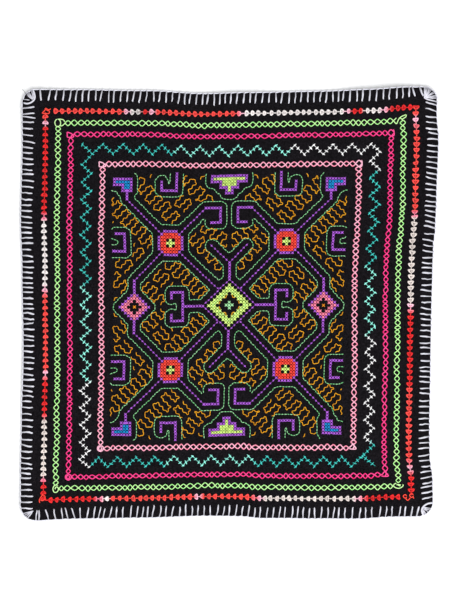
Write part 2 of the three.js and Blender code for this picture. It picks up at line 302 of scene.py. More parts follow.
@dataclass
class ClothLie:
    """The way from a point of the flat cloth to the place where it lies."""

    width: float = 398  # The flat cloth's size along X
    height: float = 412  # The flat cloth's size along Y
    # Radii of its rounded corners, clockwise from the top left
    corner_radii: tuple[float, float, float, float] = (13, 12, 15, 15)
    fade: float = 110  # Distance over which a side's straying fades to 1/e
    pucker: float = 0.3  # How far the edge bulges out or is drawn in by the edging's stitches
    pucker_fade: float = 5  # Distance over which that fades to 1/e
    pucker_count: int = 64  # How many such bulges a side has
    # How often along a side their spacing drifts, and by how many radians
    pucker_drift: tuple[float, float] = (5.3, 3)
    # How often along a side they grow and fade, their least and their added share
    pucker_swell: tuple[float, float, float] = (11.7, 0.65, 0.35)
    # Move from the laid cloth's own middle to the model's frame
    shift: Array = field(default_factory=lambda: np.zeros(3))

    @property
    def half(self) -> Array:
        """Half the flat cloth's width and height."""
        return np.array([self.width, self.height]) / 2

    def side_length(self, number: int) -> float:
        """Gives the length of a side of the flat cloth, by its number clockwise from the top."""
        return (self.width, self.height)[number % 2]

    def stray(self, side: str, share: Array, inset: Array) -> Array:
        """Gives how far the cloth strays outwards near a side.

        Args:
            side: Name of the side.
            share: Shares of the side's length from the left or from the top.
            inset: Distances from the side.

        Returns:
            The distances, eased between those of the table, with the edge's small puckers.
        """
        at, out = np.array(list(STRAYS[side].items())).T
        right = np.clip(np.searchsorted(at, share), 1, len(at) - 1)
        part = smooth((share - at[right - 1]) / (at[right] - at[right - 1]))
        eased = out[right - 1] + (out[right] - out[right - 1]) * part
        turns = 2 * math.pi * share
        drifts, by = self.pucker_drift
        bulges = np.sin(turns * self.pucker_count + by * np.sin(turns * drifts + len(side)))
        swells, least, added = self.pucker_swell
        swing = self.pucker * (least + added * np.sin(turns * swells)) * np.exp(-inset / self.pucker_fade)
        return eased * np.exp(-inset / self.fade) + bulges * swing

    def rise(self, x: Array, y: Array) -> Array:
        """Gives the height of the underside over the surface at points of the flat cloth."""
        total = np.zeros_like(x)
        for lift in LIFTS:
            total += lift.height * swell(x, y, lift)
        for crease in CREASES:
            turn = math.radians(crease.turn)
            along = (x - crease.x) * math.cos(turn) + (y - crease.y) * math.sin(turn)
            aside = (y - crease.y) * math.cos(turn) - (x - crease.x) * math.sin(turn)
            ends = smooth(1 - np.abs(along) / (crease.length / 2))
            total += crease.height * ends * np.exp(-((aside / crease.width) ** 2))
        return total

    def lay(self, flat: Array) -> Array:
        """Moves points of the flat cloth to where they lie.

        Args:
            flat: Rows of x, y and the height over the underside, in millimetres.

        Returns:
            Rows of x, y and z in the model's frame, in millimetres.
        """
        x, y, above = flat.T
        across, down = x / self.width + 0.5, 0.5 - y / self.height
        top = CORNERS[0] + np.outer(across, CORNERS[1] - CORNERS[0])
        bottom = CORNERS[3] + np.outer(across, CORNERS[2] - CORNERS[3])
        place = top + (bottom - top) * down[:, None]
        place[:, 0] -= self.stray("left", down, across * self.width)
        place[:, 0] += self.stray("right", down, (1 - across) * self.width)
        place[:, 1] += self.stray("top", across, down * self.height)
        place[:, 1] -= self.stray("bottom", across, (1 - down) * self.height)
        for pull in PULLS:
            place += np.outer(swell(x, y, pull), (pull.along_x, pull.along_y))
        return np.column_stack([place, self.rise(x, y) + above]) + self.shift

    def rim(self, corner: int, distance: float) -> tuple[Array, Array]:
        """Finds a point of the flat cloth's edge.

        Args:
            corner: Number of a corner, clockwise from the top left.
            distance: Distance past that corner, or before it if negative.

        Returns:
            The point, and the way out of the cloth there.
        """
        length = self.side_length(corner)
        if distance >= length / 2:
            corner, distance = (corner + 1) % 4, distance - length
        diagonal = math.radians(135 - 90 * corner)
        signs = CORNER_SIGNS[corner]
        square = signs * self.half
        radius = self.corner_radii[corner]
        if abs(distance) >= radius:
            ahead = math.radians(-90 * corner + (90 if distance < 0 else 0))
            way = np.array([math.cos(ahead), math.sin(ahead)])
            return square + way * distance, left_of(way)
        turn = diagonal - distance / radius * math.pi / 4
        outward = np.array([math.cos(turn), math.sin(turn)])
        return square + radius * (outward - signs), outward

    def settle(self, node: str) -> None:
        """Sets the move to the model's frame, so that the edge lies where the CAD node's does."""
        edge = []
        for corner in range(4):
            after, before = self.side_length(corner), self.side_length(corner + 1)
            steps = np.linspace(-before / 2, after / 2, EDGE_STEPS)
            edge += [self.rim(corner, step)[0] for step in steps]
        laid = self.lay(np.column_stack([edge, np.zeros(len(edge))]))
        middle = (laid.max(axis=0) + laid.min(axis=0)) / 2
        low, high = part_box(node)
        self.shift = np.append(np.array((low + high) / 2)[:2] / MM - middle[:2], 0)


class Side:
    """One side of a rectangle on the flat cloth, followed clockwise."""

    NAMES = ("top", "right", "bottom", "left")

    def __init__(self, lie: ClothLie, insets: Insets, number: int) -> None:
        """Finds the side.

        Args:
            lie: The cloth.
            insets: Distances of the rectangle from the cloth's sides.
            number: Number of the side, clockwise from the top.
        """
        west, south = -lie.half + (insets.left, insets.bottom)
        east, north = lie.half - (insets.right, insets.top)
        corners = np.array([(west, north), (east, north), (east, south), (west, south)])
        self.name = self.NAMES[number]
        self.start = corners[number]
        self.end = corners[(number + 1) % 4]
        self.length = float(np.linalg.norm(self.end - self.start))
        self.way = (self.end - self.start) / self.length
        self.inward = -left_of(self.way)

    def at(self, along: Array, outward: Array) -> Array:
        """Gives points by their distance along the side and outwards from it."""
        along, outward = np.broadcast_arrays(along, outward)
        return self.start + along[..., None] * self.way - outward[..., None] * self.inward


Runs = dict[str, dict[float, Dye]]

# Past the end of every side
END = 1000.0
# Half the length of yarn over which one colour becomes the next
BLEND = 1.5
# The sides along which places are read to the right. They are read downwards along the others
LEVEL_SIDES = ("top", "bottom")
# Each side's stretches of dyed yarn, up to a distance from the cloth's middle, to the right or
# downwards
RED_RUNS = {
    "top": {
        -102: Dye.CORAL, -96.2: Dye.PALE_PINK, -85.5: Dye.CREAM, -77.8: Dye.DEEP_RED,
        -72: Dye.PALE_PINK, 6.3: Dye.CORAL, 9.5: Dye.BLUSH, 13.5: Dye.PALE_PINK, 110: Dye.CREAM,
        116: Dye.PALE_PINK, 128: Dye.DEEP_RED, 145: Dye.CREAM, 151: Dye.PALE_PINK, 154: Dye.BLUSH,
        END: Dye.DEEP_RED,
    },
    "right": {
        -186: Dye.DEEP_RED, -178.3: Dye.CORAL, -171.7: Dye.PALE_PINK, -165.8: Dye.BLUSH,
        -87.3: Dye.CORAL, -81.8: Dye.ROSE, 1.6: Dye.IVORY, 6.9: Dye.PALE_PINK, 10.2: Dye.BLUSH,
        81: Dye.DEEP_RED, 152: Dye.CORAL, 157.5: Dye.BLUSH, 162.8: Dye.PALE_PINK, 166.5: Dye.BLUSH,
        END: Dye.DEEP_RED,
    },
    "bottom": {
        -127: Dye.DEEP_RED, -120: Dye.ROSE, -113.6: Dye.CREAM, -31.2: Dye.CORAL,
        -24.7: Dye.PALE_PINK, 24.3: Dye.CORAL, 30: Dye.BLUSH, 35.5: Dye.PALE_PINK, 124: Dye.IVORY,
        129.7: Dye.PALE_PINK, 134.5: Dye.BLUSH, END: Dye.DEEP_RED,
    },
    "left": {
        -177: Dye.CORAL, -172: Dye.PALE_PINK, -87.5: Dye.DEEP_RED, -81.5: Dye.ROSE,
        -18.3: Dye.CREAM, -13: Dye.PALE_PINK, -9: Dye.BLUSH, 62.7: Dye.CORAL, 67.9: Dye.PALE_PINK,
        71.5: Dye.BLUSH, 106: Dye.DEEP_RED, 109.5: Dye.BLUSH, 165: Dye.IVORY, 170: Dye.ROSE,
        END: Dye.DEEP_RED,
    },
}
ZIGZAG_RUNS = {
    "top": {-54: Dye.TEAL, 57: Dye.MINT, END: Dye.SNOW},
    "right": {-128: Dye.SNOW, -35.5: Dye.TEAL, 31.3: Dye.MINT, 133.4: Dye.SNOW, END: Dye.TEAL},
    "bottom": {-59.5: Dye.TEAL, 26.4: Dye.MINT, END: Dye.TEAL},
    "left": {-18.5: Dye.TEAL, 74.3: Dye.MINT, END: Dye.SNOW},
}


def dyed(runs: Runs, side: str, places: Array) -> Array:
    """Gives the linear colours of a row's variegated yarn.

    Args:
        runs: The yarn's stretches of colour on each side.
        side: Name of the side.
        places: Places of the yarn on the flat cloth.

    Returns:
        A colour for each place.
    """
    readings = places[..., 0] if side in LEVEL_SIDES else -places[..., 1]
    ends = np.array(list(runs[side])[:-1])
    marks = np.column_stack([ends - BLEND, ends + BLEND]).ravel()
    colours = np.repeat([dye.linear for dye in runs[side].values()], 2, axis=0)[1:-1]
    return np.stack([np.interp(readings, marks, channel) for channel in colours.T], axis=-1)


# Bevel resolution of the curves that are drawn for yarn, and the sides that it gives each strand
BEVEL = 1
YARN_SIDES = 4 + 2 * BEVEL
# A single stitch: share of its length, rise over the cloth and radius, both in radii
STITCH_FORM = np.array(
    [(0, -0.9, 0), (0.14, 0.2, 0.72), (0.5, 0.85, 1.06), (0.86, 0.2, 0.72), (1, -0.9, 0)]
)
# Painted shade: how much darker a stitch's dye is made where it goes down between the other stitches, as
# a share of its depth; its raised middle is painted a little lighter
STITCH_SHADE = np.array([1, 0.35, -0.12, 0.35, 1])
# Heights in radii: a loose strand over the cloth, and one crossing stitch over another
LOOSE_RISE = 0.7
CROSSING_RISE = 0.9
# How near to each other the vertices at a strand's closed end are
TIP_REACH = 0.0001


class Skein:
    """Collects strands of yarn on the flat cloth and makes them one mesh on the laid cloth."""

    def __init__(self, lie: ClothLie) -> None:
        """Starts with no yarn on a cloth."""
        self.lie = lie
        self.routes: list[Array] = []
        self.radii: list[Array] = []
        self.colours: list[Array] = []

    def strand(self, route: Array, radius: Array | float, colour: Array) -> None:
        """Adds a strand.

        Args:
            route: Rows of x, y and height over the cloth's underside.
            radius: Its radius, or one for each row. An end of radius 0 is a closed point.
            colour: Its linear colour, or one for each row.
        """
        count = len(route)
        self.routes.append(np.asarray(route, dtype=float))
        self.radii.append(np.array(np.broadcast_to(radius, count), dtype=float))
        self.colours.append(np.array(np.broadcast_to(colour, (count, 3)), dtype=float))

    def stitch(
        self, start: Array, end: Array, radius: float, colour: Array,
        over: float = 0, dark: float = 0.5,
    ) -> None:
        """Adds a straight stitch that dips into the cloth at both ends.

        Args:
            start: Where it comes up, as x and y.
            end: Where it goes down.
            radius: Its radius at the middle.
            colour: Its linear colour.
            over: How much higher its middle lies on another stitch, in radii.
            dark: How much painted shade darkens its ends, as a share.
        """
        share, rise, full = STITCH_FORM.T
        start, end = np.asarray(start, dtype=float), np.asarray(end, dtype=float)
        place = start + share[:, None] * (end - start)
        lifted = rise + over * np.where(full >= 1, 1, 0)
        route = np.column_stack([place, FIELD_TOP + radius * lifted])
        # Painted shade darkens the ends where the stitch goes down, and its raised middle is painted a
        # little lighter
        self.strand(route, radius * full, colour * (1 - dark * STITCH_SHADE[:, None]))

    def path(
        self, origin: Array, path: Sequence[Sequence[float]], radius: float, colour: Array,
        top: float = FIELD_TOP,
    ) -> None:
        """Adds a loose curved strand that goes into the cloth at both ends.

        Args:
            origin: Place that the path is measured from.
            path: Rows of x, y and the height over other yarn, in radii.
            radius: Radius of the yarn.
            colour: Its linear colour.
            top: Height of the cloth's top there.
        """
        route = curved(path)
        thick = np.full(len(route), radius)
        thick[[0, -1]] = 0
        heights = top + radius * (LOOSE_RISE + route[:, 2])
        self.strand(np.column_stack([origin + route[:, :2], heights]), thick, colour)

    def cross(
        self, middle: Array, arms: Sequence[Array], radius: float, colour: Array, dark: float = 0.5
    ) -> None:
        """Adds stitches that cross at their middle, each on the one before it.

        Args:
            middle: Where they cross.
            arms: Half of each stitch, as a way and length from the middle.
            radius: Radius of the yarn.
            colour: Its linear colour.
            dark: How much painted shade darkens the stitches' ends, as a share.
        """
        for layer, arm in enumerate(arms):
            over = CROSSING_RISE * layer
            self.stitch(middle - arm, middle + arm, radius, colour, over=over, dark=dark)

    def _parted(self, rows: Array) -> list[Array]:
        """Parts the rows of all the points into those of each strand."""
        return np.split(rows, np.cumsum([len(route) for route in self.routes])[:-1])

    def _curve(self, name: str, laid: Array) -> Curve:
        """Draws every strand as a spline of one bevelled curve.

        Args:
            name: Name of the curve.
            laid: Places of all the strands' points, in metres.

        Returns:
            The curve.
        """
        curve = bpy.data.curves.new(name, "CURVE")
        curve.dimensions = "3D"
        curve.bevel_depth = 1.0
        curve.bevel_resolution = BEVEL
        radii = (np.concatenate(self.radii) * MM).astype(np.float32)
        rows = np.column_stack([laid, np.ones(len(laid))]).astype(np.float32)
        for points, thick in zip(self._parted(rows), self._parted(radii)):
            spline = curve.splines.new("POLY")
            spline.points.add(len(points) - 1)
            spline.points.foreach_set("co", points.ravel())
            spline.points.foreach_set("radius", thick)
        return curve

    def _lengths(self, laid: Array) -> Array:
        """Gives each point's distance along its own strand, in millimetres."""
        return np.concatenate([run_of(strand) for strand in self._parted(laid)]) / MM

    def mesh(self, name: str) -> Object:
        """Makes the yarn one mesh object.

        Its dye attribute holds the colours, and its UV map the distance along each strand in
        millimetres and the share of the way round it.

        Args:
            name: Name of the object.

        Returns:
            The object, not yet in the scene.
        """
        laid = self.lie.lay(np.concatenate(self.routes)) * MM
        curve = self._curve(name, laid)
        drawn = bpy.data.objects.new(name + ".drawn", curve)
        bpy.context.scene.collection.objects.link(drawn)
        graph = bpy.context.evaluated_depsgraph_get()
        mesh = bpy.data.meshes.new_from_object(drawn.evaluated_get(graph))
        bpy.data.objects.remove(drawn)
        bpy.data.curves.remove(curve)
        mesh.name = name

        dye = np.repeat(np.concatenate(self.colours), YARN_SIDES, axis=0)
        dye = np.column_stack([dye, np.ones(len(dye))]).astype(np.float32)
        mesh.attributes.new("dye", "FLOAT_COLOR", "POINT").data.foreach_set("color", dye.ravel())
        along = np.repeat(self._lengths(laid), YARN_SIDES)
        corners = np.empty(len(mesh.loops), dtype=np.int32)
        mesh.loops.foreach_get("vertex_index", corners)
        layer = mesh.uv_layers[0]
        turns = np.empty(2 * len(mesh.loops), dtype=np.float32)
        layer.uv.foreach_get("vector", turns)
        turns[0::2] = along[corners]
        layer.uv.foreach_set("vector", turns)

        tips = np.flatnonzero(np.repeat(np.concatenate(self.radii) == 0, YARN_SIDES))
        form = bmesh.new()
        form.from_mesh(mesh)
        form.verts.ensure_lookup_table()
        bmesh.ops.remove_doubles(form, verts=[form.verts[i] for i in tips], dist=TIP_REACH * MM)
        form.to_mesh(mesh)
        form.free()
        return bpy.data.objects.new(name, mesh)


class Sewing:
    """A part of the sewing that is one piece."""

    name: str  # Name of the piece
    seed: int  # Start of its random unevenness

    def sew(self, skein: Skein, lie: ClothLie, rng: Random) -> None:
        """Sews the stitches of the part, as each part does in its own way."""
        raise NotImplementedError

    def build(self, lie: ClothLie) -> Object:
        """Sews the part and makes it a piece.

        Args:
            lie: How the cloth lies.

        Returns:
            The piece, not yet in the scene.
        """
        skein = Skein(lie)
        self.sew(skein, lie, np.random.default_rng(self.seed))
        return skein.mesh(self.name)


class Bench:
    """Places nodes in a shader tree and links them."""

    def __init__(self, tree: NodeTree) -> None:
        """Works on one tree."""
        self.tree = tree

    def feed(self, node: Node, values: dict) -> None:
        """Sets a node's inputs, or links sockets to them, by their names or numbers."""
        for key, value in values.items():
            if isinstance(value, NodeSocket):
                self.tree.links.new(value, node.inputs[key])
            else:
                node.inputs[key].default_value = value

    def node(self, kind: str, values: dict | None = None, **settings: object) -> Node:
        """Adds a node.

        Args:
            kind: Its type.
            values: A value or a socket to link for each of its inputs, by name or number.
            settings: Its other properties.

        Returns:
            The node.
        """
        made = self.tree.nodes.new(kind)
        for name, value in settings.items():
            setattr(made, name, value)
        self.feed(made, values or {})
        return made

    def math(self, operation: str, first: object, second: object = 0.0) -> NodeSocket:
        """Adds a sum on one or two values and gives its result."""
        return self.node("ShaderNodeMath", {0: first, 1: second}, operation=operation).outputs[0]

    def span(
        self, value: object, low: float, high: float, given: tuple[float, float] = (0.0, 1.0)
    ) -> NodeSocket:
        """Stretches a value from a given range over another one."""
        ranges = {"From Min": given[0], "From Max": given[1], "To Min": low, "To Max": high}
        return self.node("ShaderNodeMapRange", {"Value": value, **ranges}).outputs[0]

    def noise(self, scale: object, detail: float = 2.0, roughness: float = 0.5) -> NodeSocket:
        """Adds soft noise on Object coordinates and gives its strength."""
        place = self.node("ShaderNodeTexCoord").outputs["Object"]
        form = {"Vector": place, "Scale": scale, "Detail": detail, "Roughness": roughness}
        return self.node("ShaderNodeTexNoise", form).outputs[0]

    def group(self, tree: NodeTree, values: dict) -> Node:
        """Adds a node group with its own values."""
        return self.node("ShaderNodeGroup", values, node_tree=tree)


def new_group(
    name: str, inputs: dict[str, float], outputs: Iterable[str]
) -> tuple[Bench, Node, Node]:
    """Makes an empty node group of numbers.

    Args:
        name: Its name.
        inputs: Its inputs with their default values.
        outputs: Its outputs.

    Returns:
        A bench on the group, its input node and its output node.
    """
    tree = bpy.data.node_groups.new(name, "ShaderNodeTree")
    for socket, value in inputs.items():
        made = tree.interface.new_socket(name=socket, in_out="INPUT", socket_type="NodeSocketFloat")
        made.default_value = value
    for socket in outputs:
        tree.interface.new_socket(name=socket, in_out="OUTPUT", socket_type="NodeSocketFloat")
    bench = Bench(tree)
    return bench, bench.node("NodeGroupInput"), bench.node("NodeGroupOutput")


def fibre_group() -> NodeTree:
    """Makes the soft unevenness of spun fibre: a shade around 1, on Object coordinates."""
    bench, given, out = new_group("Fibre", {"Scale": 900.0, "Spread": 0.2}, ["Shade"])
    noise = bench.noise(given.outputs["Scale"], detail=3.0, roughness=0.6)
    centred = bench.math("SUBTRACT", noise, 0.5)
    swing = bench.math("MULTIPLY", centred, bench.math("MULTIPLY", given.outputs["Spread"], 2.0))
    bench.feed(out, {"Shade": bench.math("ADD", swing, 1.0)})
    return bench.tree


# Noise that draws the threads of a weave astray: its scale, and how far, in metres
THREAD_WANDER = (60.0, 0.0012)


def weave_group() -> NodeTree:
    """Makes a plain weave on Object coordinates: a height, and a painted shade that is darkest in the
    gaps between the threads, both from 0 to 1.
    """
    bench, given, out = new_group("PlainWeave", {"Pitch": 0.0006}, ["Height", "Shade"])
    place = bench.node("ShaderNodeTexCoord").outputs["Object"]
    pull = bench.math("MULTIPLY", bench.noise(THREAD_WANDER[0], detail=1.0), THREAD_WANDER[1])
    split = bench.node("ShaderNodeSeparateXYZ", {0: place})
    waves = []
    for axis in (0, 1):
        moved = bench.math("ADD", split.outputs[axis], pull)
        turns = bench.math("DIVIDE", moved, given.outputs["Pitch"])
        waves.append(bench.math("SINE", bench.math("MULTIPLY", turns, math.pi)))
    crossing = bench.math("MULTIPLY", waves[0], waves[1])
    threads = bench.math("MINIMUM", *(bench.math("ABSOLUTE", wave) for wave in waves))
    shade = bench.math("SQRT", threads)
    over = bench.span(crossing, 0.0, 1.0, given=(-1.0, 1.0))
    bench.feed(out, {"Height": bench.math("MULTIPLY", over, shade), "Shade": shade})
    return bench.tree


def twist_group() -> NodeTree:
    """Makes the plies of twisted yarn from the piece's UV map: a height, and a painted shade that is
    darkest in the gaps between the plies, 0 to 1.
    """
    bench, given, out = new_group("TwistedPly", {"Plies": 3.0, "Twist": 2.4}, ["Height", "Shade"])
    run = bench.node("ShaderNodeUVMap", uv_map="UVMap").outputs[0]
    split = bench.node("ShaderNodeSeparateXYZ", {0: run})
    along = bench.math("DIVIDE", split.outputs[0], given.outputs["Twist"])
    around = bench.math("MULTIPLY", split.outputs[1], given.outputs["Plies"])
    phase = bench.math("MULTIPLY", bench.math("ADD", along, around), math.pi)
    ply = bench.math("SQRT", bench.math("ABSOLUTE", bench.math("SINE", phase)))
    bench.feed(out, {"Height": ply, "Shade": ply})
    return bench.tree


class Finish(Bench):
    """A bench on a new material, with its shader."""

    def __init__(self, name: str, roughness: float, gloss: float) -> None:
        """Makes the material.

        Args:
            name: Its name.
            roughness: Its roughness.
            gloss: Strength of its reflection, 0.5 being that of plastic.
        """
        self.material = bpy.data.materials.new(name)
        self.material.use_nodes = True
        super().__init__(self.material.node_tree)
        self.shader = self.tree.nodes["Principled BSDF"]
        self.feed(self.shader, {"Roughness": roughness, "Specular IOR Level": gloss})

    def cover(
        self, dye: object, shade: NodeSocket, height: NodeSocket,
        relief: float, strength: float,
    ) -> Material:
        """Dyes the threads of the surface and raises them.

        Args:
            dye: Their colour.
            shade: Their brightness, as a multiple of the dye's.
            height: Their height, from 0 to 1.
            relief: What a height of 1 is, in millimetres.
            strength: How much of that relief shows.

        Returns:
            The material.
        """
        tint = self.node("ShaderNodeVectorMath", {0: dye, 3: shade}, operation="SCALE")
        raised = {"Height": height, "Strength": strength, "Distance": relief * MM}
        bump = self.node("ShaderNodeBump", raised)
        self.feed(self.shader, {"Base Color": tint.outputs[0], "Normal": bump.outputs[0]})
        return self.material


@dataclass(frozen=True)
class CottonFinish:
    """Matt black cotton in a plain weave."""

    dye: Dye = Dye.BLACK  # Colour of the cotton
    pitch: float = 0.62  # Distance between two threads, in millimetres
    relief: float = 0.16  # Depth of the weave, in millimetres
    roughness: float = 0.95  # Roughness of the cotton
    gloss: float = 0.05  # Strength of its reflection, 0.5 being that of plastic
    nap: float = 0.006  # Weight of the light fibres that stand off it
    flecks: float = 4.0  # Brightness of the lint on it, as a multiple of the cotton's own
    fleck_scale: float = 900.0  # Scale of the noise that places the lint
    fleck_band: tuple[float, float] = (0.6, 0.9)  # Between which of its strengths the lint fades in
    fuzz: tuple[float, float] = (1050.0, 2.6)  # Scale and spread of the threads' unevenness
    darkest: float = 0.1  # The least shade of a thread
    wear: tuple[float, float] = (45.0, 0.35)  # Scale and spread of the worn patches
    tones: tuple[float, float] = (0.3, 1.45)  # Painted shade: the shades of the gaps and of the threads' middles
    strength: float = 0.7  # How much of the relief shows

    def material(self, weave: NodeTree, fibre: NodeTree) -> Material:
        """Makes the material from the shared groups."""
        bench = Finish("black_cotton", self.roughness, self.gloss)
        bench.feed(bench.shader, {"Sheen Weight": self.nap})
        woven = bench.group(weave, {"Pitch": self.pitch * MM})
        fuzz, wear = (
            bench.group(fibre, {"Scale": scale, "Spread": spread}).outputs[0]
            for scale, spread in (self.fuzz, self.wear)
        )
        shade = bench.math("MULTIPLY", bench.math("MAXIMUM", fuzz, self.darkest), wear)
        shade = bench.math("MULTIPLY", shade, bench.span(woven.outputs["Shade"], *self.tones))
        lint = bench.span(bench.noise(self.fleck_scale), 0.0, self.flecks, given=self.fleck_band)
        shade = bench.math("ADD", shade, lint)
        height = woven.outputs["Height"]
        return bench.cover(self.dye.linear, shade, height, self.relief, self.strength)


@dataclass(frozen=True)
class YarnFinish:
    """Dyed yarn, its plies twisted together. Its colour is the piece's dye attribute."""

    name: str  # Name of the material
    plies: float = 3.0  # How many plies are twisted together
    twist: float = 2.2  # Distance in which they make one turn, in millimetres
    relief: float = 0.12  # Depth between the plies, in millimetres
    roughness: float = 0.62  # Roughness of the yarn
    gloss: float = 0.25  # Strength of its reflection, 0.5 being that of plastic
    spread: float = 0.16  # How uneven the dye is
    grain: float = 1100.0  # Scale of that unevenness
    tones: tuple[float, float] = (0.72, 1.06)  # Painted shade: the shades of the gaps between the plies and of their middles
    strength: float = 0.8  # How much of the relief shows

    def material(self, twist: NodeTree, fibre: NodeTree) -> Material:
        """Makes the material from the shared groups."""
        bench = Finish(self.name, self.roughness, self.gloss)
        dye = bench.node("ShaderNodeAttribute", attribute_name="dye").outputs["Color"]
        spun = bench.group(twist, {"Plies": self.plies, "Twist": self.twist})
        fuzz = bench.group(fibre, {"Scale": self.grain, "Spread": self.spread}).outputs[0]
        shade = bench.math("MULTIPLY", fuzz, bench.span(spun.outputs["Shade"], *self.tones))
        return bench.cover(dye, shade, spun.outputs["Height"], self.relief, self.strength)


def enter(piece: Object, finish: Material, body: str = "root") -> None:
    """Puts a finished piece into the scene.

    Args:
        piece: The object.
        finish: Its material.
        body: The body that it rides on.
    """
    bpy.context.scene.collection.objects.link(piece)
    piece.data.materials.clear()
    piece.data.materials.append(finish)
    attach(piece, body)
    piece.data.calc_loop_triangles()
    log.info("%s: %d triangles before modifiers", piece.name, len(piece.data.loop_triangles))


@dataclass(frozen=True)
class HemmedCloth:
    """The cotton cloth with its hem turned under on all four sides."""

    cell: float = 2.4  # Size of the squares that the sheet is made of
    hem_width: float = 12  # Width of the hem
    hem_slope: float = 1.8  # Width over which the cloth comes down from the hem to the field
    fold_out: float = 0.42  # How far the hem's fold bulges out
    # Heights of the fold's rings, as shares of the way down
    fold_steps: tuple[float, ...] = (0.15, 0.5, 0.85)
    # Rings of the turned-under cloth, by their distance from the edge
    hem_steps: tuple[float, ...] = (0, 3, 7.5, 12)
    cut_reach: float = 0.05  # How near to a vertex a cut goes through it

    def sheet(self, lie: ClothLie) -> BMesh:
        """Models the flat sheet with its fold and hem.

        Args:
            lie: The cloth's sizes.

        Returns:
            The sheet, with each vertex at its flat place and its height over the underside.
        """
        form = flat_grid(lie.half, [round(2 * half / self.cell) for half in lie.half])
        for start in (self.hem_width, self.hem_width + self.hem_slope):
            for axis, sign in ((0, -1), (0, 1), (1, -1), (1, 1)):
                spot, normal = Vector((0, 0, 0)), Vector((0, 0, 0))
                spot[axis] = sign * (lie.half[axis] - start)
                normal[axis] = sign
                cut(form, spot, normal, self.cut_reach)
        self._round_corners(form, lie)
        centre = CLOTH_THICKNESS / 2
        for vertex in form.verts:
            inset = min(lie.half[0] - abs(vertex.co.x), lie.half[1] - abs(vertex.co.y))
            fall = smooth((inset - self.hem_width) / self.hem_slope)
            vertex.co.z = HEM_TOP - centre + (FIELD_TOP - HEM_TOP) * float(fall)
        self._fold_under(form, lie)
        return form

    def _round_corners(self, form: BMesh, lie: ClothLie) -> None:
        """Draws the sheet's corner squares in to quarter circles."""
        for vertex in form.verts:
            west, south = vertex.co.x < 0, vertex.co.y < 0
            radius = lie.corner_radii[(3 if west else 2) if south else (0 if west else 1)]
            past = [abs(vertex.co[axis]) - (lie.half[axis] - radius) for axis in (0, 1)]
            if min(past) <= 0:
                continue
            share = max(past) / math.hypot(*past)
            for axis in (0, 1):
                inner = lie.half[axis] - radius + past[axis] * share
                vertex.co[axis] = math.copysign(inner, vertex.co[axis])

    def _fold_under(self, form: BMesh, lie: ClothLie) -> None:
        """Carries the sheet's edge round the fold and back under it, ring by ring."""
        high, low = HEM_TOP - CLOTH_THICKNESS / 2, TURNED_UNDER_TOP - CLOTH_THICKNESS / 2
        rings = [
            (-self.fold_out * math.sin(math.pi * step), high + (low - high) * step)
            for step in self.fold_steps
        ]
        rings += [(inset, low) for inset in self.hem_steps]
        edges = [edge for edge in form.edges if edge.is_boundary]
        flat = {vertex: vertex.co.copy() for edge in edges for vertex in edge.verts}
        for inset, height in rings:
            made = bmesh.ops.extrude_edge_only(form, edges=edges)["geom"]
            scale = 1 - inset / lie.half
            ring = {}
            for vertex in (item for item in made if isinstance(item, BMVert)):
                others = [link.other_vert(vertex) for link in vertex.link_edges]
                start = next(flat[other] for other in others if other in flat)
                ring[vertex] = start
                vertex.co = (start.x * scale[0], start.y * scale[1], height)
            flat = ring
            edges = [item for item in made if isinstance(item, BMEdge)]
            edges = [edge for edge in edges if edge.is_boundary]

    def build(self, lie: ClothLie) -> Object:
        """Lays the sheet and gives it its thickness.

        Args:
            lie: How the cloth lies.

        Returns:
            The cloth.
        """
        form = self.sheet(lie)
        places = np.array([vertex.co for vertex in form.verts])
        for vertex, place in zip(form.verts, lie.lay(places) * MM):
            vertex.co = place
        for face in form.faces:
            face.smooth = True
        mesh = bpy.data.meshes.new("embroidered_cloth")
        form.to_mesh(mesh)
        form.free()
        cloth = bpy.data.objects.new("embroidered_cloth", mesh)
        layers = cloth.modifiers.new("thickness", "SOLIDIFY")
        layers.thickness = CLOTH_THICKNESS * MM
        layers.offset = 0
        return cloth


class Tack(NamedTuple):
    """A blanket stitch near a corner."""

    at: float  # Where the yarn crosses the edge: the distance past the corner, negative before it
    hole_x: float  # Distance of the stitch's hole from the cloth's side edge
    hole_y: float  # Distance of the hole from the top or bottom edge
    radius: float  # Radius of the yarn there
    bow: float = 0  # How far its middle bends to the left of its way inwards


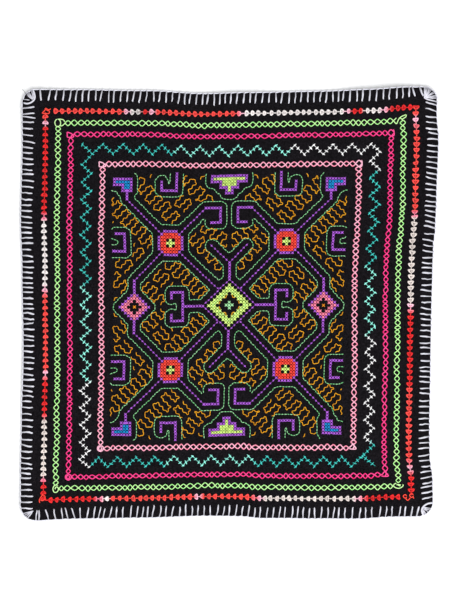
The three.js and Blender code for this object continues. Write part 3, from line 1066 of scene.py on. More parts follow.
# In order round each corner, clockwise from the top left
CORNER_TACKS = (
    (
        Tack(-25.1, 12.1, 26.8, 0.78), Tack(-23.0, 11.1, 22.1, 0.74),
        Tack(-17.4, 11.1, 16.3, 0.8), Tack(-7.8, 6.4, 9.5, 0.42), Tack(-0.6, 9.4, 9.2, 0.45),
        Tack(0.8, 9.8, 9.0, 0.5), Tack(2.2, 10.0, 8.8, 0.5), Tack(3.4, 10.2, 8.8, 0.42),
        Tack(6.6, 10.4, 8.6, 0.5), Tack(8.2, 10.6, 8.6, 0.5), Tack(16.5, 17.5, 10.0, 0.85),
        Tack(26.3, 24.3, 10.0, 0.8),
    ),
    (
        Tack(-27.0, 27.2, 9.5, 0.85), Tack(-24.0, 21.4, 8.8, 0.8), Tack(-16.8, 13.2, 8.3, 0.85),
        Tack(-12.0, 11.9, 10.9, 0.7), Tack(-10.2, 11.8, 10.4, 0.62), Tack(-8.4, 11.6, 10.4, 0.62),
        Tack(-6.4, 11.5, 10.2, 0.62), Tack(-4.6, 11.4, 10.0, 0.6), Tack(-3.0, 11.2, 9.9, 0.5),
        Tack(0.6, 11.0, 9.8, 0.6), Tack(2.4, 10.9, 9.8, 0.5), Tack(6.2, 10.8, 9.8, 0.62),
        Tack(8.0, 10.8, 10.0, 0.6), Tack(9.6, 10.8, 10.2, 0.55), Tack(13.6, 11.6, 11.0, 0.8),
        Tack(16.9, 10.7, 14.5, 0.75), Tack(23.0, 10.7, 20.4, 0.8),
    ),
    (
        Tack(-29.2, 11.2, 27.2, 0.8), Tack(-24.0, 10.6, 21.8, 0.8), Tack(-18.6, 10.2, 16.1, 0.85),
        Tack(-4.6, 8.9, 8.8, 0.6, 0.5), Tack(-2.2, 9.0, 8.0, 0.5, 0.3), Tack(0.6, 9.3, 7.0, 0.5),
        Tack(4.4, 9.6, 5.8, 0.6), Tack(6.2, 9.8, 4.6, 0.6), Tack(8.0, 10.0, 3.4, 0.6),
        Tack(15.9, 13.5, 9.1, 0.85), Tack(21.4, 19.7, 9.1, 0.8), Tack(27.6, 26.4, 9.4, 0.8),
    ),
    (
        Tack(-26.6, 23.7, 9.7, 0.75), Tack(-17.3, 17.6, 9.3, 0.75), Tack(-14.4, 15.3, 9.3, 0.75),
        Tack(-3.7, 11.7, 9.0, 0.6), Tack(-1.2, 11.6, 9.0, 0.5), Tack(1.2, 11.5, 8.9, 0.5),
        Tack(3.8, 11.4, 8.8, 0.6), Tack(11.0, 11.2, 11.1, 0.75), Tack(17.5, 11.0, 17.5, 0.75),
        Tack(23.3, 11.6, 22.8, 0.8),
    ),
)


# How far the holes lie past the edge's crossings, at shares of each side, clockwise
LEANS = (
    {0: -2.0, 0.15: -1.3, 0.5: -0.9, 0.85: -0.3, 1: 0.4},
    {0: -0.9, 0.33: -1.9, 0.45: -0.4, 0.72: -0.5, 0.86: 1.7, 1: 2.3},
    {0: -1.6, 0.3: -0.9, 0.6: -1.2, 0.84: -2.0, 0.87: 2.2, 1: 2.6},
    {0: -0.7, 0.3: -1.1, 0.7: -0.5, 0.88: -1.2, 1: 0.5},
)
# Loose yarn at two corners and the tail of a thread, by the distance from the side edge, that from
# the top or bottom edge, and the height over the hem in radii
LOOP = (
    (9.3, -0.4, -0.8), (10.8, 2.6, 0.2), (11.7, 6.2, 0.5), (10.8, 9.6, 0.6), (7.9, 12.0, 0.5),
    (3.8, 13.0, 0.3), (0.2, 12.0, -0.8),
)
ARC = (
    (-0.4, 12.3, -0.8), (2.4, 12.3, 0.2), (6.0, 11.4, 0.4), (9.4, 8.9, 0.5), (10.9, 5.6, 0.5),
    (10.3, 2.4, 0.3), (9.0, 0.4, -0.6),
)
TAIL = ((5.0, 6.0, 1.0), (3.2, 3.8, 2.6), (1.0, 1.2, 2.2), (-1.0, -1.4, -4.0))
# Each one's corner, path, radius and dye
LOOSE_YARN = ((0, LOOP, 0.8, Dye.WHITE), (0, TAIL, 0.22, Dye.GREY), (2, ARC, 0.85, Dye.WHITE))
# A blanket stitch from its hole (share 1) to the edge (share 0), over the hem, by its height
# over the hem's top and its radius in yarn radii
PRONG_TOP = np.array(
    [
        (1.01, -0.9, 0), (0.98, 0.25, 0.66), (0.92, 0.72, 0.9), (0.68, 0.8, 1.04),
        (0.4, 0.72, 1.0), (0.1, 0.85, 0.86),
    ]
)
# Painted shade: its brightness at shares of that way, darkening towards the edge, and beneath the cloth
PRONG_SHADE = ((0.1, 0.45, 0.9), (0.62, 0.9, 1.02))
UNDER_SHADE = 0.85
# It then goes round the edge, by its distance outside it and its height, and back beneath
PRONG_EDGE = np.array([(0.5, 2.4, 0.9), (0.7, 1.5, 0.8), (0.4, 0.72, 0.55)])
PRONG_UNDER = np.array([(0.08, 0.32, 0.42), (0.5, 0.32, 0.42), (0.97, 0.32, 0.42), (1.0, 0.6, 0)])
# The purl between two stitches, by the share of the way, its distance outside, its height, and
# its radius in its own mean radii
PURL = np.array(
    [
        (0, 0.5, 2.6, 0.8), (0.12, 0.7, 2.2, 1), (0.5, 0.8, 1.7, 1.05), (0.88, 0.7, 1.5, 0.95),
        (1, 0.4, 1.3, 0.7),
    ]
)


class Stitch(NamedTuple):
    """A blanket stitch in its place on the flat cloth."""

    corner: int  # Number of the corner before it
    at: float  # Distance past that corner at which it crosses the edge, negative before the corner
    hole: Array  # Where its hole is
    radius: float  # Radius of its yarn
    bow: float  # How far its middle bends to the left of its way inwards


@dataclass(frozen=True)
class BlanketEdging(Sewing):
    """White blanket stitch round the whole edge, over the hem."""

    # Distance between two stitches at the top and bottom, and at the sides
    pitches: tuple[float, float] = (6.06, 5.45)
    length: float = 10.3  # Distance of their holes from the edge
    # Radius of the yarn on each side, clockwise from the top
    radii: tuple[float, float, float, float] = (0.72, 0.77, 0.68, 0.84)
    purl_radius: float = 0.6  # Radius of the yarn along the edge
    purl_painted_light: float = 1.15  # Painted light: how much brighter that yarn is made, as it lies open to the light
    stray: float = 0.6  # How far a hole strays from the others' lean
    spacing: Spacing = Spacing(0.1, 0.75, 1.3)  # How uneven the spacing is
    length_spread: float = 0.055  # How far the length varies, as a share
    radius_spread: float = 0.08  # How far the radius varies from stitch to stitch, as a share
    bow_spread: float = 0.25  # How far a stitch's middle bends to either side
    wander: float = 0.16  # How far a stitch wanders off its line
    fullness_spread: float = 0.09  # How far the radius varies along a stitch, as a share
    # Mean brightness of a stitch, and how far it varies along it
    brightness: tuple[float, float] = (0.98, 0.09)
    name: str = "blanket_edging"
    seed: int = 11

    def side_stitches(self, lie: ClothLie, side: int, rng: Random) -> list[Stitch]:
        """Lists the even stitches between two corners, in order."""
        length = lie.side_length(side)
        begin = CORNER_TACKS[side][-1].at
        end = length + CORNER_TACKS[(side + 1) % 4][0].at
        count = round((end - begin) / self.pitches[side % 2])
        leans = np.array(list(LEANS[side].items())).T
        found = []
        for share in uneven(rng, count, self.spacing)[1:-1]:
            distance = begin + share * (end - begin)
            point, outward = lie.rim(side, distance)
            lean = np.interp(distance / length, *leans) + rng.normal(0, self.stray)
            reach = self.length * (1 + rng.normal(0, self.length_spread))
            hole = point - outward * reach - left_of(outward) * lean
            radius = self.radii[side] * (1 + rng.normal(0, self.radius_spread))
            found.append(Stitch(side, distance, hole, radius, rng.normal(0, self.bow_spread)))
        return found

    def stitches(self, lie: ClothLie, rng: Random) -> list[Stitch]:
        """Lists all the stitches clockwise."""
        found = []
        for corner, signs in enumerate(CORNER_SIGNS):
            for tack in CORNER_TACKS[corner]:
                hole = signs * (lie.half - (tack.hole_x, tack.hole_y))
                found.append(Stitch(corner, tack.at, hole, tack.radius, tack.bow))
            found += self.side_stitches(lie, corner, rng)
        return found

    def prong(self, skein: Skein, lie: ClothLie, stitch: Stitch, rng: Random) -> None:
        """Sews one stitch from its hole over the hem, round the edge and back beneath."""
        point, outward = lie.rim(stitch.corner, stitch.at)
        inward = stitch.hole - point
        share, rise, full = PRONG_TOP.T
        aside = stitch.bow * np.sin(math.pi * share)
        aside = aside + np.append(rng.normal(0, self.wander, len(share) - 1), 0)
        across = left_of(inward) / np.linalg.norm(inward)
        places = point + share[:, None] * inward + aside[:, None] * across
        top = np.column_stack([places, HEM_TOP + stitch.radius * rise])
        full = full * rng.normal(1, self.fullness_spread, len(full))
        out, height, edge_full = PRONG_EDGE.T
        edge = np.column_stack([point + out[:, None] * outward, height])
        under_share, height, under_full = PRONG_UNDER.T
        under = np.column_stack([point + under_share[:, None] * inward, height])
        fullness = np.concatenate([full, edge_full, under_full])
        # Painted shade towards the edge and beneath the cloth, times a brightness that varies at random
        shade = np.interp(share, *PRONG_SHADE) * rng.normal(*self.brightness, len(share))
        shade = np.append(shade, np.full(len(fullness) - len(shade), UNDER_SHADE))
        route = np.concatenate([top, edge, under])
        skein.strand(route, stitch.radius * fullness, Dye.WHITE.linear * shade[:, None])

    def sew(self, skein: Skein, lie: ClothLie, rng: Random) -> None:
        """Sews the stitches, the purls between them and the loose yarn at the corners."""
        stitches = self.stitches(lie, rng)
        # Painted light on the yarn along the edge
        colour = Dye.WHITE.linear * self.purl_painted_light
        share, out, height, full = PURL.T
        for stitch, following in zip(stitches, stitches[1:] + stitches[:1]):
            self.prong(skein, lie, stitch, rng)
            step = following.at - stitch.at
            if following.corner != stitch.corner:
                step += lie.side_length(stitch.corner)
            rims = [lie.rim(stitch.corner, stitch.at + part * step) for part in share]
            points, ways = np.array(rims).swapaxes(0, 1)
            route = np.column_stack([points + out[:, None] * ways, height])
            skein.strand(route, self.purl_radius * full, colour)
        for corner, path, radius, dye in LOOSE_YARN:
            signs = CORNER_SIGNS[corner]
            turned = np.array(path) * (*-signs, 1)
            skein.path(signs * lie.half, turned, radius, dye.linear, top=HEM_TOP)


# The outline of a knot in the red row: distance along the row and out of it in millimetres, and
# the yarn's fullness
KNOT = np.array(
    [
        (2.2, 0.0, 0), (1.5, 0.85, 0.95), (0.7, 1.5, 1.05), (-0.3, 2.15, 1.05), (-1.15, 2.5, 0.85),
        (-1.5, 1.8, 0.95), (-1.3, 0.8, 0.95), (-1.15, 0.0, 0.9), (-1.3, -0.8, 0.95),
        (-1.5, -1.8, 0.95), (-1.15, -2.5, 0.85), (-0.3, -2.15, 1.05), (0.7, -1.5, 1.05),
        (1.5, -0.85, 0.95), (2.2, 0.0, 0),
    ]
)
# Its height in radii at distances from the row's middle
KNOT_RISE = ((0, 1.3), (0.35, 0.75))
KNOT_HALF_WIDTH = 2.6
# Where the stitch that fills its left lobe and the one down its middle begin and end
LOBE = np.array([(0.75, 0.8), (-1.0, 1.75)])
RIB = np.array([(-1.5, 0.0), (2.1, 0.0)])


class KnotForm(NamedTuple):
    """A side's form of the knot."""

    shoulders: float  # How far its widest place lies further along, which makes it rounder
    length: float  # Its length, as a share of the outline's
    width: float  # Its width, as a share of the outline's


KNOT_FORMS = {
    "top": KnotForm(1.0, 1.0, 0.96),
    "right": KnotForm(0.0, 0.95, 1.1),
    "bottom": KnotForm(0.15, 0.92, 0.96),
    "left": KnotForm(0.0, 0.84, 0.94),
}
# Loose strands at the row's corners, by the corner's number: x and y from the corner, and the
# height over other yarn in radii
RED_CORNERS = {
    0: (
        (
            (5.6, 2.5, 0), (3.2, 1.1, 0), (0.4, 2.6, 0), (-0.4, 0.6, 0), (-2.9, -2.0, 0),
            (-0.6, -2.2, 0.3), (3.2, -2.4, 0), (4.0, -0.2, 0.5), (1.8, 0.6, 0.9), (0, 2.4, 0.6),
        ),
    ),
    2: (
        ((-4.4, 0.4, 0), (-6.2, 2.2, 0), (-8.0, 0.4, 0), (-6.2, -1.4, 0), (-4.4, 0.2, 0.8)),
        ((2.1, 1.3, 0), (0.2, 3.2, 0), (-1.8, 1.3, 0), (0.2, -0.8, 0), (2.2, 1.1, 0.8)),
        ((-5.6, -1.2, 0.6), (-4.8, -2.9, 0), (-3.6, -3.4, 0), (-2.2, -2.2, 0), (-1.0, -0.6, 0.6)),
        ((1.4, -0.2, 0.4), (1.9, -1.0, 0.2), (2.4, -1.9, 0)),
    ),
    3: (
        ((0.2, 6.8, 0.6), (-1.8, 3.9, 0), (-3.9, 0.4, 0), (-3.2, -2.8, 0)),
        ((-3.6, 1.0, 0.8), (-0.4, -0.2, 0.3), (1.8, 2.6, 0), (0.4, 5.4, 0)),
    ),
}
# Where the row's even knots start after each corner
RED_STARTS = (9.6, 0.0, 13.0, 1.6)


@dataclass(frozen=True)
class KnottedRow(Sewing):
    """The outer row of spade-shaped knots in variegated red, pink and white yarn."""

    insets: Insets  # Where the row lies
    runs: Runs  # Its colours on each side
    # Distance between two knots at the top and bottom, and at the sides
    pitches: tuple[float, float] = (6.1, 5.74)
    radius: float = 0.6  # Radius of the yarn in a knot
    lobe_radius: float = 0.51  # Radius of the yarn that fills a lobe
    rib_radius: float = 0.372  # Radius of the stitch down the middle
    link_radius: float = 0.5  # Radius of the thread between two knots
    # Where that thread starts after a knot's middle, and ends before the next
    link_ends: tuple[float, float] = (1.3, -1.0)
    spacing: Spacing = Spacing(0.06, 0.8, 1.2)  # How uneven the spacing is
    turn_spread: float = 0.12  # How far a knot is turned, in radians
    size_spread: float = 0.07  # How far its size varies, as a share
    shift_spread: float = 0.14  # How far it lies off the row's middle
    shade_spread: float = 0.07  # How far its brightness varies
    name: str = "knotted_row"
    seed: int = 23

    def tint(self, side: Side, ends: Array) -> Array:
        """Gives the colour of the yarn at the middle of a stitch."""
        return dyed(self.runs, side.name, ends.mean(axis=0))

    def knot(self, skein: Skein, side: Side, along: float, shade: float, rng: Random) -> None:
        """Sews one knot: a spade-shaped loop, its two lobes filled, and a stitch down its middle."""
        form = KNOT_FORMS[side.name]
        turn = rng.normal(0, self.turn_spread)
        size = np.array([form.length, form.width]) * rng.normal(1, self.size_spread, 2)
        shift = rng.normal(0, self.shift_spread)

        def places(outline: Array) -> Array:
            """Gives the places of points that are measured from the knot's middle."""
            ahead, aside = (outline[:, :2] * size).T
            ahead = ahead + form.shoulders * np.abs(aside) / KNOT_HALF_WIDTH
            ahead, aside = (
                ahead * math.cos(turn) - aside * math.sin(turn),
                ahead * math.sin(turn) + aside * math.cos(turn),
            )
            return side.at(along + ahead, aside + shift)

        loop = places(KNOT)
        heights = FIELD_TOP + self.radius * np.interp(np.abs(KNOT[:, 1]), *KNOT_RISE)
        colours = dyed(self.runs, side.name, loop) * shade
        skein.strand(np.column_stack([loop, heights]), self.radius * KNOT[:, 2], colours)
        for lobe in (-1, 1):
            ends = places(LOBE * (1, lobe))
            colour = self.tint(side, ends) * shade
            skein.stitch(*ends, self.lobe_radius, colour * rng.normal(1.02, 0.12), dark=0.2)
        ends = places(RIB)
        colour = self.tint(side, ends) * shade
        skein.stitch(*ends, self.rib_radius, colour * 1.08, over=0.6, dark=0.2)

    def sew(self, skein: Skein, lie: ClothLie, rng: Random) -> None:
        """Sews the knots, the links between them and the loose strands at the corners."""
        for number in range(4):
            side = Side(lie, self.insets, number)
            for path in RED_CORNERS.get(number, ()):
                skein.path(side.start, path, self.lobe_radius, Dye.RED.linear)
            room = side.length - RED_STARTS[number]
            count = round(room / self.pitches[number % 2])
            starts = side.length - room * (1 - uneven(rng, count, self.spacing))
            shades = rng.normal(1, self.shade_spread, count)
            for k, (start, shade) in enumerate(zip(starts, shades)):
                self.knot(skein, side, start, shade, rng)
                link = side.at(starts[k : k + 2] + self.link_ends, np.zeros(2))
                skein.stitch(*link, self.link_radius, self.tint(side, link) * shade, dark=0.15)


# Half of a diamond in an interlaced row: share of its length, and distance out of its width
DIAMOND = np.array([(0, 0), (0.2, 0.5), (0.38, 0.9), (0.5, 1), (0.62, 0.9), (0.8, 0.5)])
# Painted shade: how much of the shaded tone shows at shares of a half diamond's length, most on its outer
# arc, which lies lower
ARC_PAINTED_SHADE = ((0.12, 0.38, 0.62, 0.88), (0.1, 0.85, 0.85, 0.1))
# Heights in radii: where a strand goes under the other or over it, and at shares between
UNDER_OVER = (0.6, 1.9)
BETWEEN = ((0.3, 0.5, 0.7), (0.8, 0.55, 0.8))


class Corner(NamedTuple):
    """How an interlaced row turns a corner."""

    before: float  # Distance before the corner at which its diamonds end
    after: float  # Distance after it at which they start again
    # Its loose strands, each by x and y from the corner and the height over other yarn
    paths: tuple[tuple[tuple[float, float, float], ...], ...]


GREEN_CORNERS = (
    Corner(3.3, 6.8, (
        (
            (-0.4, 3.6, 0), (-2.1, 2.4, 0), (-2.9, 0, 0), (-1.9, -2.8, 0), (0, -3.7, 0),
            (2.2, -2.4, 0.4), (2.7, 0.3, 0.8), (1.6, 2.8, 1), (-0.5, 3.5, 1.2),
        ),
        ((-0.4, 3.3, 1.6), (2.5, 3.4, 0.6), (5.4, 2.8, 0), (6.9, 0.4, 0.3)),
        ((1.0, -3.0, 0.8), (3.6, -2.9, 0), (5.6, -1.8, 0), (6.9, -0.1, 0.9)),
    )),
    Corner(9.1, 0.4, (
        ((-9.1, -0.2, 0.6), (-7.4, 1.1, 0), (-6.0, 2.3, 0)),
        (
            (-9.2, 0.2, 0), (-7.6, -2.2, 0), (-6.2, -3.2, 0), (-5.2, -1.4, 0), (-3.2, 1.8, 0.4),
            (-0.2, 3.4, 0), (3.0, 4.3, 0), (2.8, 2.4, 0), (0.8, 1.2, 0.3), (-1.2, 0.2, 0.9),
        ),
        ((-3.4, 2.4, 0.9), (-1.6, 1.0, 0), (-0.1, -0.5, 0)),
    )),
    Corner(3.0, 5.4, (
        (
            (4.2, 1.6, 0), (4.7, 0.2, 0), (2.9, -1.6, 0), (0, -2.4, 0), (-2.9, -1.6, 0),
            (-5.5, 0.4, 0.4),
        ),
        ((-5.4, -0.4, 1), (-3.6, 2.0, 0), (-1.6, 2.4, 0)),
        ((-2.3, 0.9, 0.6), (0.3, 1.3, 0.9), (2.8, 0.7, 0.6)),
        ((-1.8, 2.0, 0), (0.4, 0.4, 0.4), (2.4, -0.4, 0)),
    )),
    Corner(3.0, 3.4, (
        (
            (2.2, 2.8, 0.6), (0.4, 3.7, 0), (-1.9, 2.5, 0), (-2.8, 0, 0), (-2.0, -2.8, 0),
            (-0.2, -3.6, 0), (1.9, -2.4, 0), (2.5, 0, 0), (1.2, 1.8, 0.4), (-0.4, 0.9, 0.6),
            (-0.6, -0.8, 0.2),
        ),
    )),
)
PINK_CORNERS = (
    Corner(3.0, 3.2, (
        (
            (-3.4, 2.6, 0), (-3.1, -0.2, 0), (-2.9, -2.6, 0), (0.2, -2.7, 0), (3.2, -2.2, 0),
            (1.0, 0.6, 0.4), (-1.4, 1.6, 0.6), (-3.6, 2.2, 0.9),
        ),
        ((0.2, -2.6, 0.9), (1.8, -0.6, 0.9), (3.3, 0.1, 0)),
    )),
    Corner(3.0, 3.0, (
        ((-3.0, 0, 0), (-1.4, 2.0, 0), (0, 2.9, 0), (1.6, 2.0, 0), (2.8, 0.2, 0.2)),
        ((2.8, 0, 0), (1.5, -2.0, 0), (0, -3.0, 0.6), (-1.5, -2.0, 0), (-3.0, 0, 0.8)),
        ((2.4, 3.4, 0.9), (2.9, 0.4, 1.1), (2.6, -2.8, 0.9), (0, -3.1, 0.4)),
    )),
    Corner(3.0, 4.8, (
        (
            (-4.9, -0.8, 0), (-1.8, -1.5, 0), (2.4, -1.4, 0), (1.2, 1.0, 0.3), (-1.0, 2.8, 0),
            (-2.8, 1.0, 0.6), (-4.9, -0.2, 0.9),
        ),
        ((-1.0, -1.6, 0.9), (0.6, 0.8, 0.9), (0, 3.1, 0.4)),
    )),
    Corner(3.0, 3.0, (
        (
            (0, 2.9, 0), (-2.5, 1.4, 0), (-2.6, -1.4, 0), (0, -3.0, 0), (2.5, -1.5, 0),
            (2.5, 1.4, 0), (0.4, 2.2, 0.6), (-1.5, 0.8, 0.8), (-1.3, -1.4, 0.8), (0.4, -1.8, 0.8),
            (1.2, 0, 0.8), (0.2, 1.2, 0.9),
        ),
    )),
)


@dataclass(frozen=True)
class InterlacedRow(Sewing):
    """A row of diamonds, made by two strands that cross over and under each other."""

    name: str
    insets: Insets  # Where the row lies
    dye_and_shade: tuple[Dye, Dye]  # The yarn's dye, shown at its crossings, and the painted shade of the lower arcs between them
    corners: tuple[Corner, Corner, Corner, Corner]  # Its four corners, clockwise from the top left
    # Length of a diamond at the top and bottom, and at the sides
    pitches: tuple[float, float] = (6.04, 5.47)
    half_width: float = 2.45  # Half the row's width, to the strands' middles
    radius: float = 0.54  # Radius of the yarn
    spacing: Spacing = Spacing(0.13, 0.74, 1.4)  # How uneven the spacing is
    wander: float = 0.26  # How far the crossings lie off the row's middle
    width_spread: float = 0.1  # How far a diamond's width varies, as a share
    painted_shade_spread: float = 0.3  # How far the amount of painted shade varies, as a share
    seed: int = 31

    def side_strands(self, skein: Skein, side: Side, number: int, rng: Random) -> None:
        """Sews the two strands along one side."""
        begin = self.corners[number].after
        room = side.length - begin - self.corners[(number + 1) % 4].before
        count = round(room / self.pitches[number % 2])
        starts = begin + uneven(rng, count, self.spacing) * room
        wander = rng.normal(0, self.wander, count + 1)
        share, out = DIAMOND.T
        arc_shade = np.interp(share, *ARC_PAINTED_SHADE)
        main, shaded_tone = self.dye_and_shade
        for strand, sign in enumerate((1, -1)):
            rows, tints = [], []
            for k in range(count):
                along = starts[k] + share * (starts[k + 1] - starts[k])
                width = self.half_width * (1 + rng.normal(0, self.width_spread))
                middle = wander[k] + share * (wander[k + 1] - wander[k])
                ends = [UNDER_OVER[(crossing + strand) % 2] for crossing in (k, k + 1)]
                rise = np.interp(share, (0, *BETWEEN[0], 1), (ends[0], *BETWEEN[1], ends[1]))
                places = side.at(along, middle + sign * (-1) ** k * out * width)
                rows.append(np.column_stack([places, FIELD_TOP + self.radius * rise]))
                # Painted shade: the lower outer arcs take on the shaded tone
                fade = np.clip(arc_shade * rng.normal(1, self.painted_shade_spread), 0, 1)
                tints.append(main.mixed(shaded_tone, fade))
            last = side.at(starts[-1:], wander[-1:])
            rows.append(np.column_stack([last, [FIELD_TOP + self.radius]]))
            tints.append(main.linear[None])
            skein.strand(np.concatenate(rows), self.radius, np.concatenate(tints))

    def sew(self, skein: Skein, lie: ClothLie, rng: Random) -> None:
        """Sews the four sides and the loose strands of their corners."""
        for number in range(4):
            side = Side(lie, self.insets, number)
            self.side_strands(skein, side, number, rng)
            for path in self.corners[number].paths:
                skein.path(side.start, path, self.radius, self.dye_and_shade[0].linear)


class Leg(NamedTuple):
    """Evenly spaced turns of the zigzag along one side, measured from the cloth's middle."""

    side: str  # Name of the side
    first: float  # Place of the first turn along the side, as x or y
    last: float  # Place of the last turn
    turns: int  # How many turns there are
    outward_first: bool  # Whether the first of them is the outer one


ZIGZAG_LEGS = (
    Leg("top", -132.6, -103.0, 4, False),
    Leg("top", -92.9, 135.0, 26, False),
    Leg("right", 146.2, 18.4, 16, True),
    Leg("right", 9.9, -136.9, 19, True),
    Leg("bottom", 121.5, -133.5, 29, True),
    Leg("left", -149.3, -8.2, 18, True),
    Leg("left", -0.3, 134.6, 17, True),
)


@dataclass(frozen=True)
class ZigzagRow(Sewing):
    """The zigzag of small linked crosses in variegated teal, mint and white yarn."""

    insets: Insets  # Where its middle lies
    runs: Runs  # Its colours on each side
    swing: float = 4.5  # Distance of its turns from its middle
    pitch: float = 4.5  # Distance between two crosses
    arm: float = 2.15  # Half the length of the stitch across the zigzag in a cross
    ahead: float = 0.28  # Half that of the stitch along it, as a share of the pitch
    radius: float = 0.6  # Radius of the yarn
    link_radius: float = 0.28  # Radius of the stitch from one cross to the next
    # Where that stitch begins and ends, as a share of the pitch
    link_ends: tuple[float, float] = (-0.2, 1.1)
    link_painted_shade: float = 0.8  # Painted shade on it where it lies low beside the crosses, as a brightness
    # Where the two tails go, from the first turn and from the bottom right corner
    tails: tuple[tuple[float, float], tuple[float, float]] = ((-9.6, 9.2), (12.4, -10.6))
    stray: float = 0.14  # How far a cross strays from its place
    arm_spread: float = 0.12  # How far the stitch across varies in length and slant, as a share
    shade_spread: float = 0.08  # How far the brightness varies
    name: str = "zigzag_row"
    seed: int = 41

    def turns(self, lie: ClothLie) -> list[tuple[str, Array]]:
        """Lists the side and the place of each turn, clockwise from the top left."""
        found = []
        for leg in ZIGZAG_LEGS:
            side = Side(lie, self.insets, Side.NAMES.index(leg.side))
            for k, place in enumerate(np.linspace(leg.first, leg.last, leg.turns)):
                outward = self.swing * (1 if leg.outward_first == (k % 2 == 0) else -1)
                point = side.start - side.inward * outward
                point[0 if leg.side in LEVEL_SIDES else 1] = place
                found.append((leg.side, point))
        return found

    def leg(self, skein: Skein, side: str, start: Array, end: Array, rng: Random) -> None:
        """Sews the crosses from one turn to the next."""
        way = end - start
        length = float(np.linalg.norm(way))
        count = max(2, round(length / self.pitch))
        step = way / count
        across = left_of(way) / length * self.arm
        for k in range(count):
            middle = start + step * k + rng.normal(0, self.stray, 2)
            colour = dyed(self.runs, side, middle) * rng.normal(1, self.shade_spread)
            ends = (middle + share * step for share in self.link_ends)
            skein.stitch(*ends, self.link_radius, colour * self.link_painted_shade, dark=0.2)
            arm = across * rng.normal(1, self.arm_spread) + rng.normal(0, self.arm_spread) * step
            skein.cross(middle, (step * self.ahead, arm), self.radius, colour, dark=0.25)

    def sew(self, skein: Skein, lie: ClothLie, rng: Random) -> None:
        """Sews the zigzag and the two tails that stick out at its corners."""
        turns = self.turns(lie)
        for (_, start), (side, end) in zip(turns, turns[1:] + turns[:1]):
            self.leg(skein, side, start, end, rng)
        first = turns[0][1]
        self.leg(skein, "top", first + self.tails[0], first, rng)
        bottom = [side for side, _ in turns].index("bottom")
        crossing = (turns[bottom - 1][1] + turns[bottom][1]) / 2
        self.leg(skein, "right", crossing, crossing + self.tails[1], rng)


# The centre panel's own design, on a grid of cells with (0, 0) at the panel's middle. It is
# charted for the top right quarter, and turned over into the other three
BANDS = (
    ((0, 9), (0, 15)),
    ((9, 0), (16, 0)),
    ((16, 0), (16, 5), (20, 5), (20, 3)),
    ((8, 34), (3, 34), (3, 29), (6, 29)),
    ((35, 37), (35, 40)),
    ((33, 9), (33, 6)),
    ((41, 19), (36, 19), (36, 25), (39, 25)),
    ((18, 46), (18, 40), (23, 40), (23, 43)),
)
DIAGONALS = (
    ((9, 0), (0, 9)),
    ((0, 15), (6, 21)),
    ((4, 6), (16, 18)),
    ((24, 26), (35, 37)),
    ((16, 26), (8, 34)),
    ((24, 18), (33, 9)),
)


class Motif(NamedTuple):
    """A motif of cross stitches, charted cell by cell, one letter for each dye."""

    x: float  # Cell of its middle, to the right
    y: float  # That cell upwards
    chart: tuple[str, ...]  # Its rows from the top
    # Whether they end at its middle row, as its lower half is the upper one turned over
    halved: bool = False


CHART_DYES = {
    "v": Dye.VIOLET, "r": Dye.RED, "b": Dye.BLUE, "l": Dye.LIME, "p": Dye.ROSE, "o": Dye.ORANGE,
    "g": Dye.PALE_GREEN,
}
# Signs of x and y in each quarter
QUARTERS = ((1, 1), (-1, 1), (-1, -1), (1, -1))
MOTIFS = (
    Motif(20, 22, (
        "..vvvvv..",
        ".vrrrrrv.",
        "vrrrrrrrv",
        "vrr.l.rrv",
        "vrrlllrrv",
    ), halved=True),
    Motif(33, 0, (
        ".....v.....",
        "....vpv....",
        "...vpppv...",
        "..vpp.ppv..",
        ".vpp...ppv.",
        "vpp..o..ppv",
    ), halved=True),
    Motif(0, 42, (
        "vvvvvvvvvvvvv",
        "vlllllllllllv",
        "vvvvlllllvvvv",
        "...vlllllv...",
        "...vvvlvvv...",
        ".....vlv.....",
        ".....vvv.....",
    )),
    Motif(36.5, 42, (
        "vvvvvvv",
        "vbbbbbv",
        "vbbvvvv",
        "vbbv...",
        "vvvv...",
    )),
    Motif(0, 0, (
        ".......l.......",
        "......lll......",
        ".....lllll.....",
        "....lll.lll....",
        "...lll...lll...",
        "..lll.....lll..",
        ".lll...g...lll.",
        "lll...ggg...lll",
    ), halved=True),
)
Cell = tuple[float, float]


# Waves in which the stitches drift to the right and upwards, as by hand: how far, the lengths along
# X and Y in which each goes on by a radian, and where it starts
DRIFTS = (
    ((0.7, math.inf, 31, 1.2), (0.4, 19, 47, 0)),
    ((0.7, 37, math.inf, 0.4), (0.4, -41, 23, 2)),
)


class Cross(NamedTuple):
    """A kind of cross stitch."""

    reach: float  # Half its size, in cells
    radius: float  # Radius of its yarn
    dark: float  # How much painted shade darkens the stitches' ends, as a share


# Steps in which a ripple of a gold line is drawn
RIPPLE_STEPS = 6


